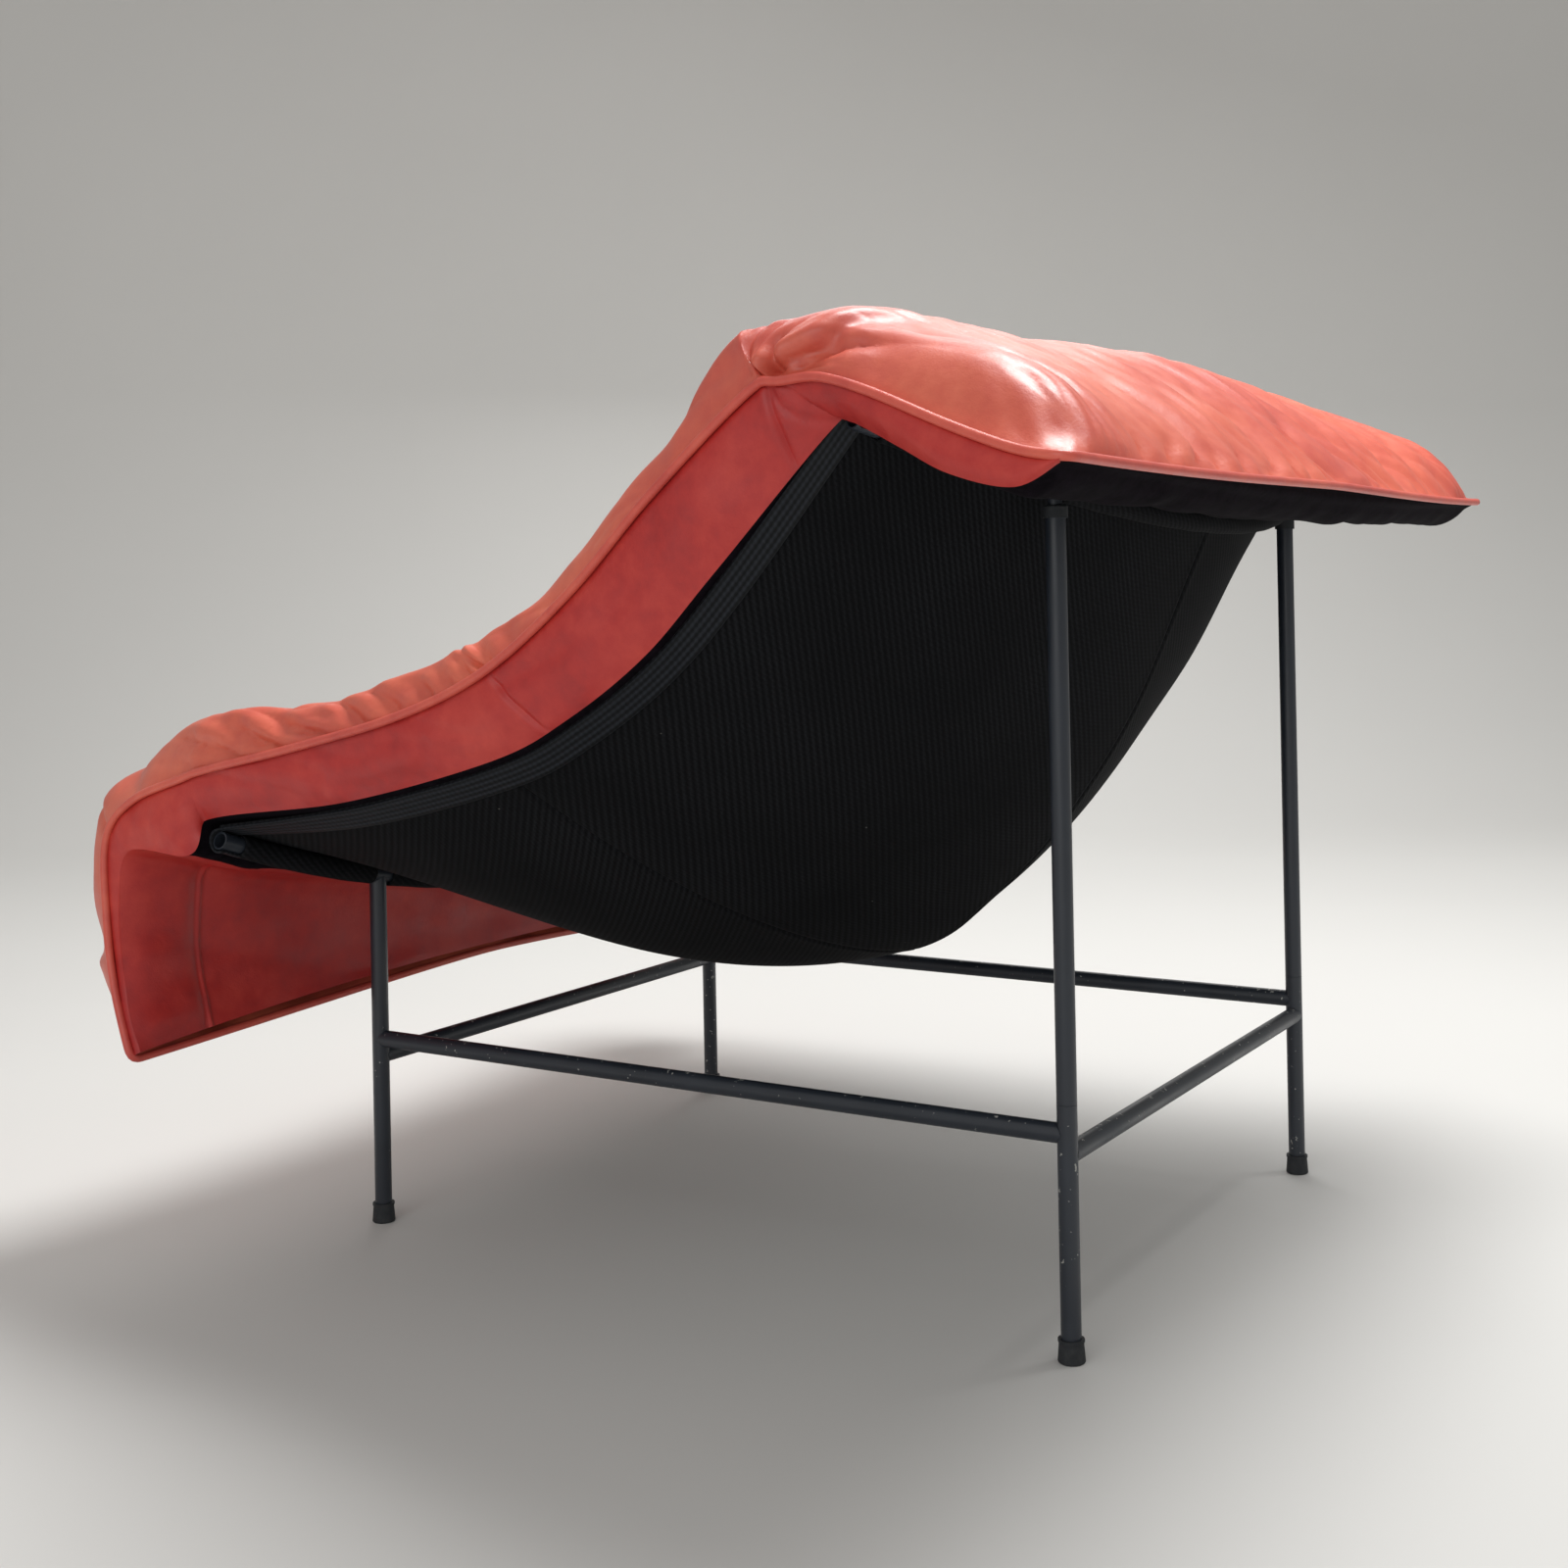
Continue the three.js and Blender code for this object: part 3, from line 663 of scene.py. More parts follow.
def write_uv(piece: Object, uv: Array) -> None:
    """Gives a mesh a UV map in metres along the cloth.

    Args:
        piece: The mesh object.
        uv: One pair in millimetres for each point.
    """
    layer = piece.data.uv_layers.new(name="cloth")
    corners = np.zeros(len(piece.data.loops), np.int32)
    piece.data.loops.foreach_get("vertex_index", corners)
    layer.uv.foreach_set("vector", (uv.reshape(-1, 2)[corners] * MM).astype(np.float32).ravel())


def face_outwards(piece: Object, offset: int = 0) -> None:
    """Turns all faces of a closed mesh to the outside.

    Args:
        piece: The mesh object.
        offset: Where it is two open layers, how far an inner point's number is from its outer one. They
            are joined along every open edge first.
    """
    work = bmesh.new()
    work.from_mesh(piece.data)
    work.verts.ensure_lookup_table()
    for edge in [e for e in work.edges if len(e.link_faces) == 1 and e.verts[0].index < offset]:
        a, b = edge.verts
        work.faces.new((a, b, work.verts[b.index + offset], work.verts[a.index + offset]))
    bmesh.ops.delete(work, geom=[v for v in work.verts if not v.link_faces], context="VERTS")
    bmesh.ops.recalc_face_normals(work, faces=work.faces)
    work.to_mesh(piece.data)
    work.free()


def read_points(piece: Object) -> Array:
    """Reads a mesh's points.

    Args:
        piece: The mesh object.

    Returns:
        The points in millimetres.
    """
    flat = np.zeros(len(piece.data.vertices) * 3, np.float32)
    piece.data.vertices.foreach_get("co", flat)
    return flat.reshape(-1, 3).astype(float) / MM


def sheet_mesh(name: str, upper: Array, lower: Array, uv: Array) -> Object:
    """Makes a closed sheet from two grids of points.

    Args:
        name: The piece's name.
        upper: The upper grid, rows by columns by 3.
        lower: The lower grid, of the same size.
        uv: Cloth coordinates in millimetres, rows by columns by 2.

    Returns:
        The new object.
    """
    rows, columns = upper.shape[:2]
    count = rows * columns
    faces = grid_faces(rows, columns) + [f[::-1] for f in grid_faces(rows, columns, count)]
    number = np.arange(count).reshape(rows, columns)
    ring = [*number[0], *number[1:, -1], *number[-1, -2::-1], *number[-2:0:-1, 0]]
    for here, there in zip(ring, ring[1:] + ring[:1]):
        faces.append((here, here + count, there + count, there))
    piece = make_object(name, np.concatenate([upper.reshape(-1, 3), lower.reshape(-1, 3)]), faces)
    face_outwards(piece)
    write_uv(piece, np.concatenate([uv.reshape(-1, 2)] * 2))
    return piece


def ring_mesh(name: str, path: Array, radius: float, sides: int) -> Object:
    """Makes a round cord along a path that joins its own start.

    Args:
        name: The piece's name.
        path: The points of its middle line.
        radius: The cord's radius.
        sides: Faces round the cord.

    Returns:
        The new object.
    """
    ahead = unit(np.roll(path, -1, 0) - np.roll(path, 1, 0))
    across = [unit(np.cross(ahead[0], [0.0, 0.0, 1.0]))]
    for way in ahead[1:]:
        across.append(unit(across[-1] - way * np.dot(across[-1], way)))
    across = np.array(across)
    angles = (np.arange(sides) / sides * 2 * math.pi)[None, :, None]
    ring = across[:, None] * np.cos(angles) + np.cross(ahead, across)[:, None] * np.sin(angles)
    number = np.arange(len(path) * sides).reshape(len(path), sides)
    after = np.roll(number, -1, 0)
    faces = np.stack([number, np.roll(number, -1, 1), np.roll(after, -1, 1), after], -1).reshape(-1, 4)
    piece = make_object(name, path[:, None] + ring * radius, faces.tolist())
    face_outwards(piece)
    return piece


def finish_piece(piece: Object, material: Material, nodes: Sequence[str]) -> None:
    """Dresses a new piece and ties it to the frame.

    Args:
        piece: The piece.
        material: Its material.
        nodes: The CAD nodes that it stands for.
    """
    piece.data.materials.append(material)
    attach(piece, "root")
    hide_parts(*nodes)
    LOG.info("made %s for %d nodes", piece.name, len(nodes))


# Bars and sling


@dataclass
class SlingSurface:
    """The surface of the canvas between the two curved bars, in millimetres.

    Line 0 lies on the front bar and the last line on the rear bar. t runs from -1 at the right rim to 1
    at the left rim.
    """

    shift: float
    half_span: float = 475.0
    bar_y: float = 356.0
    post_x: float = 280.0
    front_end: float = 387.0
    front_sag: float = 84.0
    rear_end: float = 717.0
    rear_sag: float = 68.0
    rear_bow: float = 100.0
    tube_radius: float = 8.0
    hem_radius: float = 10.1
    lift: float = 12.0
    thickness: float = 2.0
    webbing_across: float = 21.0
    lean: float = math.radians(61)
    middle_run_shares: tuple = (0, 0.354, 0.589, 0.701, 0.801, 0.907, 1)
    middle_rise_shares: tuple = (0, -0.244, -0.191, -0.032, 0.191, 0.544, 1)
    rim_run_shares: tuple = (0, 0.246, 0.496, 0.616, 0.734, 0.838, 1)
    rim_rise_shares: tuple = (0, 0.072, 0.192, 0.297, 0.449, 0.643, 1)
    depth_power_shares: tuple = (2, 1.4, 1.1, 1.2, 1.4, 1.7, 2)
    height_power_shares: tuple = (2, 1.8, 1.65, 1.65, 1.7, 1.8, 2)
    seam_line: float = 2.0
    last_line: float = 6.0

    def __post_init__(self) -> None:
        """Works out where the sling meets the bars."""
        self.rear_y = self.bar_y + self.rear_bow * (self.post_x / self.half_span) ** 2
        self.front_low, self.rear_low = self.front_end - self.front_sag, self.rear_end - self.rear_sag
        self.webbing_edge = 1 - self.webbing_across / self.half_span
        front = self.rim_lift(0.0, 2 * self.front_sag / self.half_span, 0.0)
        rear = self.rim_lift(
            -2 * self.rear_bow / self.half_span, 2 * self.rear_sag / self.half_span, self.lean
        )
        back, up = math.sin(self.lean), math.cos(self.lean)
        self.tables = [
            mix(low, high, np.asarray(shares, float))
            for low, high, shares in (
                (-self.bar_y, self.rear_y - self.lift * back, self.middle_run_shares),
                (-self.bar_y, self.rear_y - self.rear_bow - rear * back, self.rim_run_shares),
                (self.front_low + self.lift, self.rear_low + self.lift * up, self.middle_rise_shares),
                (self.front_end + front, self.rear_end + rear * up, self.rim_rise_shares),
            )
        ]

    def rim_lift(self, depth_slope: float, height_slope: float, lean: float) -> float:
        """Works out how far the canvas stands off a sloping bar at the rim.

        Args:
            depth_slope: How fast the bar moves back towards the rim.
            height_slope: How fast it rises.
            lean: The direction in which the canvas leaves it.

        Returns:
            The distance from the bar's middle line.
        """
        toward = height_slope * math.cos(lean) - depth_slope * math.sin(lean)
        return self.lift / math.sqrt(1 - toward**2 / (1 + depth_slope**2 + height_slope**2))

    def point(self, line: Array, t: Array) -> Array:
        """Returns points of the canvas's middle layer.

        Args:
            line: Lines along the sling.
            t: Places across it.

        Returns:
            The points in millimetres.
        """
        line, t = arrays(line, t)
        depth = np.abs(t) ** smooth_at(self.depth_power_shares, line)
        height = np.abs(t) ** smooth_at(self.height_power_shares, line)
        middle_y, rim_y, middle_z, rim_z = (smooth_at(table, line) for table in self.tables)
        y, z = mix(middle_y, rim_y, depth) + self.shift, mix(middle_z, rim_z, height)
        return np.stack([t * self.half_span, y, z], -1)

    def normal(self, line: Array, t: Array, step: float = 0.004) -> Array:
        """Returns the canvas's upward normals.

        Args:
            line: Lines along the sling.
            t: Places across it.
            step: How far apart the compared points are.

        Returns:
            The normals.
        """
        line, t = arrays(line, t)
        ahead, behind = np.minimum(line + step, self.last_line), np.maximum(line - step, 0)
        along = self.point(ahead, t) - self.point(behind, t)
        return unit(np.cross(self.point(line, t + step) - self.point(line, t - step), along))

    def at(self, line: Array, t: Array, lift: Array | float) -> Array:
        """Returns points that stand a distance above the canvas."""
        line, t, lift = arrays(line, t, lift)
        return self.point(line, t) + self.normal(line, t) * lift[..., None]

    def front_bar(self, x: Array) -> Array:
        """Returns the front bar's middle line."""
        rise = self.front_low + self.front_sag * (x / self.half_span) ** 2
        return np.stack(arrays(x, -self.bar_y + self.shift, rise), -1)

    def rear_bar(self, x: Array) -> Array:
        """Returns points of the rear bar's middle line.

        Args:
            x: Places across the chair in millimetres.

        Returns:
            The points in millimetres.
        """
        bent = (x / self.half_span) ** 2
        depth = self.rear_y - self.rear_bow * bent + self.shift
        return np.stack([x, depth, self.rear_low + self.rear_sag * bent], -1)


@dataclass
class CanvasSling:
    """The tailored canvas sling: seat panel, two back panels, bar sleeves and rim webbing."""

    surface: SlingSurface
    canvas: Material
    webbing: Material
    webbing_thickness: float = 2.0
    webbing_rows: int = 260
    webbing_past_end: float = 3.0
    under_front: tuple = (-3.6, -0.12)
    over_rear: tuple = (0.12, 3.4)
    turned_rows: int = 18
    seam_gap: float = 0.3
    cell: float = 7.0
    seat_rows: int = 64
    back_rows: int = 80
    seam_step: float = 0.0006
    seam_depth: float = 1.1
    seam_width: float = 5.0
    sag: float = 2.2
    stud_radius: float = 5.5
    notch_clearance: float = 1.2

    def build(self) -> None:
        """Builds and dresses the whole sling."""
        surface, seam = self.surface, self.surface.seam_line
        gap = self.seam_gap / surface.half_span
        seat_lines = self.lines_between(0, seam - self.seam_step, self.seat_rows)
        back_lines = self.lines_between(seam + self.seam_step, surface.last_line, self.back_rows)
        for name, lines, low, high, seams in (
            ("seat_panel", seat_lines, -1, 1, ["high"]),
            ("back_panel_left", back_lines, gap, 1, ["low", "first"]),
            ("back_panel_right", back_lines, -1, -gap, ["low", "last"]),
        ):
            piece = self.panel(f"canvas_{name}", lines, self.places_between(low, high), seams)
            finish_piece(piece, self.canvas, [f"sling_{name}"])
            x = read_points(piece)[:, 0] * MM
        for side, name in SIDES:
            self.add_webbing(side, name)
        self.add_sleeve("front", surface.front_bar, surface.tube_radius)
        self.add_sleeve("rear", surface.rear_bar, self.stud_radius)

    def lines_between(self, low: float, high: float, count: int) -> Array:
        """Returns lines with closer spacing beside both ends."""
        near = np.array([0.004, 0.012, 0.024]) * min(1.0, high - low)
        return np.unique(np.concatenate([np.linspace(low, high, count), low + near, high - near]))

    def places_between(self, low: float, high: float) -> Array:
        """Lays out places with closer spacing beside both ends.

        Args:
            low: The first place across the sling.
            high: The last place.

        Returns:
            The places.
        """
        count = max(int(abs(high - low) * self.surface.half_span / self.cell), 4)
        near = np.array([1.5, 3.5, 7.0]) / self.surface.half_span
        return np.unique(np.concatenate([np.linspace(low, high, count), low + near, high - near]))

    def drape(self, line: Array, t: Array) -> Array:
        """Works out the soft pulls in the canvas.

        Args:
            line: Lines along the sling.
            t: Places across it.

        Returns:
            How far each point is pushed along the normal, in millimetres.
        """
        x = t * self.surface.half_span
        held = smooth_step(0, 0.35, line) * smooth_step(0, 0.45, self.surface.last_line - line)
        held = held * smooth_step(0, 0.12, 1 - np.abs(t)) * (1 - bell(line - self.surface.seam_line, 0.12))
        fan = np.sin(x / 61 + line * 2.3) * bell(line - 0.9, 0.8)
        pull = np.sin(x / 38 - line * 3.1) * bell(line - 5.1, 0.7) * 0.6
        slack = np.sin(x / 97 + 1.3) * bell(line - 2.8, 1.2) * 0.7
        return self.sag * held * (fan + pull + slack)

    def panel(self, name: str, lines: Array, places: Array, seams: Sequence[str]) -> Object:
        """Makes one canvas panel.

        Args:
            name: The piece's name.
            lines: Its lines along the sling.
            places: Its places across the sling.
            seams: Which of its edges are sewn: low, high, first or last.

        Returns:
            The panel.
        """
        half = self.surface.thickness / 2
        line, t = np.meshgrid(lines, places, indexing="ij")
        middle = self.surface.point(line, t)
        run, x, push = travelled(middle), middle[..., 0], self.drape(line, t)
        away = {"low": run - run[:1], "high": run[-1:] - run, "first": x - x[:, :1], "last": x[:, -1:] - x}
        edge = np.min([np.abs(away[seam]) for seam in seams], 0)
        turned = self.seam_depth * bell(edge, self.seam_width / 2.2)
        puff = 0.5 * bell(edge - self.seam_width, self.seam_width / 2)
        upper = self.surface.at(line, t, half + push - turned * 0.3)
        lower = self.surface.at(line, t, -half + push + turned - puff)
        return sheet_mesh(name, upper, lower, np.stack([x, run], -1))

    def add_webbing(self, side: int, name: str) -> None:
        """Adds the webbing band along one rim, a tape that shows under and beside the canvas edge.

        Args:
            side: 1 for the left rim or -1 for the right.
            name: The rim's name.
        """
        surface = self.surface
        high = -surface.thickness / 2 - self.seam_gap
        low = high - self.webbing_thickness
        places = np.sort(np.linspace(surface.webbing_edge, 1.0, 9) * side)
        line, t = np.meshgrid(np.linspace(0, surface.last_line, self.webbing_rows), places, indexing="ij")
        middle = surface.point(line, t)
        run, x = travelled(middle), middle[0, :, 0]
        waver = 0.5 * np.sin(run / 43) + 0.3 * np.sin(run / 17 + 1)
        across = (np.abs(t) - surface.webbing_edge) / (1 - surface.webbing_edge)
        lip = waver * smooth_step(0.5, 1, across)
        lip = lip * smooth_step(0, 30, run) * smooth_step(0, 30, run[-1:] - run)
        under = np.linspace(*self.under_front, self.turned_rows)[:, None]
        over = np.linspace(*self.over_rear, self.turned_rows)[:, None]
        grids = []
        for level, lift in ((high, high + np.minimum(lip, 0)), (low, low + lip)):
            first = self.turned_end(surface.front_bar(x), surface.lift + level, under)
            last = self.turned_end(surface.rear_bar(x), surface.lift + level, over - surface.lean)
            grids.append(np.concatenate([first, surface.at(line, t, lift), last]))
        before = np.stack(arrays(x[None], under * surface.hem_radius), -1)
        after = np.stack(arrays(x[None], over * surface.hem_radius + run[-1:]), -1)
        uv = np.concatenate([before, np.stack([middle[..., 0], run], -1), after])
        piece = sheet_mesh(f"webbing_band_{name}", *grids, uv)
        finish_piece(piece, self.webbing, [f"rim_webbing_{name}"])

    def turned_end(self, bar: Array, radius: float, angle: Array) -> Array:
        """Returns the rows of webbing that are turned round a bar.

        Args:
            bar: The bar's middle line at the webbing's places.
            radius: Distance from the middle line.
            angle: Angles round the bar, from its top towards the back of the chair.

        Returns:
            The points in millimetres.
        """
        x = bar[:, 0]
        points = bar[None] + np.stack(arrays(0 * x[None], np.sin(angle), np.cos(angle)), -1) * radius
        points[..., 0] += self.webbing_past_end * (np.abs(x) > self.surface.half_span - 0.1) * np.sign(x)
        return points

    def add_sleeve(self, name: str, bar: Callable[[Array], Array], notch_radius: float) -> None:
        """Adds the canvas sleeve round one bar, open where a leg or stud passes through it.

        Args:
            name: Which bar, front or rear.
            bar: The bar's middle line.
            notch_radius: The radius of what passes through.
        """
        surface = self.surface
        reach = surface.half_span - surface.webbing_across - self.seam_gap
        x = np.linspace(-reach, reach, 240)
        middle = bar(x)
        ahead = unit(np.gradient(middle, axis=0))
        side = unit(np.cross(ahead, [0.0, 0.0, 1.0]))
        angles = np.linspace(0, 2 * math.pi, 33)[None, :, None]
        ring = side[:, None] * np.sin(angles) + np.cross(side, ahead)[:, None] * np.cos(angles)
        ruck = (0.35 * np.sin(x / 9.0) * np.sin(x / 71 + 1))[:, None, None] * np.cos(angles) ** 2
        outer = middle[:, None] + ring * (surface.hem_radius + ruck * 0.6)
        inner = middle[:, None] + ring * (surface.tube_radius + self.seam_gap)
        past_post = np.abs(np.abs(x) - surface.post_x)[:, None]
        is_open = ((past_post < notch_radius + self.notch_clearance) & (np.cos(angles[..., 0]) < 0.2)).ravel()
        count = is_open.size
        faces = []
        for face in grid_faces(*outer.shape[:2]):
            if not is_open[list(face)].any():
                faces += [face, tuple(v + count for v in face[::-1])]
        piece = make_object(f"canvas_sleeve_{name}", np.stack([outer, inner]), faces)
        face_outwards(piece, count)
        piece.data.shade_smooth()
        points = read_points(piece)
        write_uv(piece, np.stack([points[:, 0], points[:, 1] + points[:, 2]], -1))
        finish_piece(piece, self.canvas, [f"sling_{name}_hem"])


# Leather pad


class Panel(Enum):
    """The sections of the pad: name, first line, last line."""

    FLAP = ("front_flap", 0.0, 3.0)
    SEAT = ("seat", 3.0, 8.0)
    BACK = ("back", 8.0, 11.0)
    HEAD = ("head", 11.0, 16.0)


FRONT_SEAM, SEAT_SEAM, RIDGE, REAR_EDGE = (panel.value[2] for panel in Panel)


@dataclass
class PadSurface:
    """The form of the pad: 17 lines from the bottom of the front flap to the rear edge of the head flap.

    Top and underside are measured from the sling line that the pad leaves, as shares of its thickness.
    """

    sling: SlingSurface
    thickness: float = 88.0
    contact_gap: float = 0.3
    overhang: float = 20.0
    head_flare: float = 50.0
    edge_lift: float = 3.5
    edge_step: float = 6.0
    crown_roll: float = 50.0
    lines_to_overhang: float = 2.0
    inside_edge: float = 1 - 2.3 / 475
    top_power: float = 1.8
    bar_line: float = 5.0
    top_middle: tuple = (
        (-1.09, -1.18), (-1.55, -0.6), (-1.69, 0.08), (-1.64, 0.65), (-1.2, 1.02), (0.05, 0.97),
        (-0.17, 1.02), (-0.55, 0.82), (-0.64, 0.77), (-0.84, 0.57), (-0.86, 0.62), (-0.84, 1.54),
        (-0.46, 1.63), (0.04, 1.31), (0.54, 0.91), (0.91, 0.57), (1.22, 0.25),
    )
    top_edge: tuple = (
        (-1.07, -2.36), (-1.29, -1.68), (-1.39, -1.0), (-1.38, -0.16), (-0.96, 0.25), (-0.14, 0.53),
        (-0.51, 0.56), (-0.94, 0.45), (-0.77, 0.48), (-0.67, 0.59), (-0.5, 0.72), (-0.55, 0.27),
        (-0.03, 0.25), (0.51, 0.09), (1.29, -0.23), (1.91, -0.45), (2.3, -0.52),
    )
    under_middle: tuple = (
        (-1.01, -1.13), (-1.03, -0.79), (-0.95, -0.45), (-0.82, -0.25), (-0.41, -0.12), *[(0, 0)] * 7,
        (0.08, 0.14), (0.46, -0.04), (0.74, -0.06), (0.95, -0.03), (1.2, 0.08),
    )
    under_edge: tuple = (
        (-0.96, -2.4), (-1.16, -1.78), (-1.24, -0.95), (-1.08, -0.38), (-0.2, -0.37), (-0.14, 0),
        *[(0, 0)] * 5, (0.08, -0.12), (0.38, -0.23), (0.91, -0.47), (1.52, -0.77), (2.2, -0.95),
        (2.64, -0.82),
    )
    crown_shares: tuple = (
        0, 0.82, 0.78, 0.84, 0.66, 0.9, 1.1, 1.38, 1.09, 0.93, 0.87, 0.9, 0.68, 0.66, 0.66, 0.52, 0,
    )
    flare_shares: tuple = (*[0] * 12, 0.1, 0.3, 0.6, 0.86, 1)

    def sling_line(self, line: Array) -> Array:
        """Returns the sling line that lies under a pad line."""
        return np.clip(line - self.bar_line, 0, self.sling.last_line)

    def offset(self, middle: tuple, edge: tuple, line: Array, weight: Array) -> Array:
        """Works out how far the pad stands off the sling.

        Args:
            middle: The table for the middle of the pad.
            edge: The table for its edges.
            line: Lines along the pad.
            weight: How far each point is towards the edge, from 0 to 1.

        Returns:
            Offsets in millimetres.
        """
        off = mix(smooth_at(middle, line), smooth_at(edge, line), weight[..., None])
        return np.insert(off, 0, 0.0, axis=-1) * self.thickness

    def under(self, line: Array, t: Array) -> Array:
        """Returns points of the pad's underside.

        Args:
            line: Lines along the pad.
            t: Places across it.

        Returns:
            The points in millimetres.
        """
        line, t = arrays(line, t)
        sling, place = self.sling, self.sling_line(line)
        past = line - place - self.bar_line
        beyond = np.minimum(np.maximum(-past, past / self.lines_to_overhang), 1)
        half = sling.half_span + self.overhang * beyond + self.head_flare * smooth_at(self.flare_shares, line)
        point = sling.at(place, t * half / sling.half_span, sling.thickness / 2 + self.contact_gap)
        weight = np.abs(t) ** (2 + 150 * bell(line - RIDGE, 0.8))
        point = point + self.offset(self.under_middle, self.under_edge, line, weight)
        near = np.maximum((np.abs(t) - sling.webbing_edge) / (1 - sling.webbing_edge), 0) * (1 - beyond)
        point[..., 0] += np.sign(t) * self.edge_step * near
        point[..., 2] += self.edge_lift * near
        return point

    def top(self, line: Array, t: Array) -> Array:
        """Returns points of the pad's top.

        Args:
            line: Lines along the pad.
            t: Places across it.

        Returns:
            The points in millimetres.
        """
        line, t = arrays(line, t)
        point = self.sling.point(self.sling_line(line), t)
        point = point + self.offset(self.top_middle, self.top_edge, line, np.abs(t) ** self.top_power)
        point[..., 0] += t * (self.overhang + self.head_flare * smooth_at(self.flare_shares, line))
        inset = np.clip((self.inside_edge - np.abs(t)) * self.sling.half_span / self.crown_roll, 0, 1)
        crown = smooth_at(self.crown_shares, line) * self.thickness * t * t * np.sin(inset * math.pi / 2)
        return point + unit(point - self.under(line, t)) * crown[..., None]

    def seam_slant(self, line: Array) -> Array:
        """Returns how many lines further forward a facing's seams end at the underside."""
        return 0.26 * bell(line - SEAT_SEAM, 1.2) + 0.38 * bell(line - RIDGE, 0.9)

    def side(self, line: Array, share: Array, sign: float) -> Array:
        """Returns points of a side facing.

        Args:
            line: Lines along the pad.
            share: How far each point is from the piping down to the underside, from 0 to 1.
            sign: 1 for the left side or -1 for the right.

        Returns:
            The points in millimetres.
        """
        line, share, edge = arrays(line, share, sign)
        upper, lower = self.top(line, edge), self.under(line - self.seam_slant(line), edge)
        point = mix(upper, lower, share[..., None])
        puff = np.minimum(np.linalg.norm(lower - upper, axis=-1) * 0.08, 6) + smooth_step(11, 13, line) * 4
        point[..., 0] += sign * puff * np.sin(share * math.pi)
        return point

    def skin(self, line: Array, across: Array) -> Array:
        """Returns points of the whole leather skin.

        Args:
            line: Lines along the pad.
            across: From -2 at the right underside over -1 and 1 at the piping to 2 at the left underside.

        Returns:
            The points in millimetres.
        """
        line, across = arrays(line, across)
        t = np.clip(across, -1, 1)
        inside = 1 - np.abs(t)
        lag = 0.1 * smooth_step(0, 0.03, inside) + 0.22 * smooth_step(0.02, 0.09, inside)
        top = self.top(line + lag * bell(line - RIDGE, 0.8), t)
        left = self.side(line, np.clip(across - 1, 0, 1), 1)
        right = self.side(line, np.clip(-across - 1, 0, 1), -1)
        return np.where(across[..., None] > 1, left, np.where(across[..., None] < -1, right, top))


@dataclass
class SkinMap:
    """The skin's grid, with the distances that its relief is worked out from, in millimetres."""

    line: Array
    place: Array
    points: Array

    def __post_init__(self) -> None:
        """Measures the distance along each column, from the nearer piping and from each cross seam."""
        self.x, self.run = self.points[..., 0], travelled(self.points)
        step = travelled(self.points, 1)
        piping = [int(np.argmin(np.abs(self.place[0] - side))) for side in (-1, 1)]
        self.edge = np.min([np.abs(step - step[:, [column]]) for column in piping], 0)
        rows = [int(np.argmin(np.abs(self.line[:, 0] - seam))) for seam in (FRONT_SEAM, SEAT_SEAM, RIDGE)]
        self.past_front, self.past_seat, self.past_ridge = (self.run - self.run[row] for row in rows)


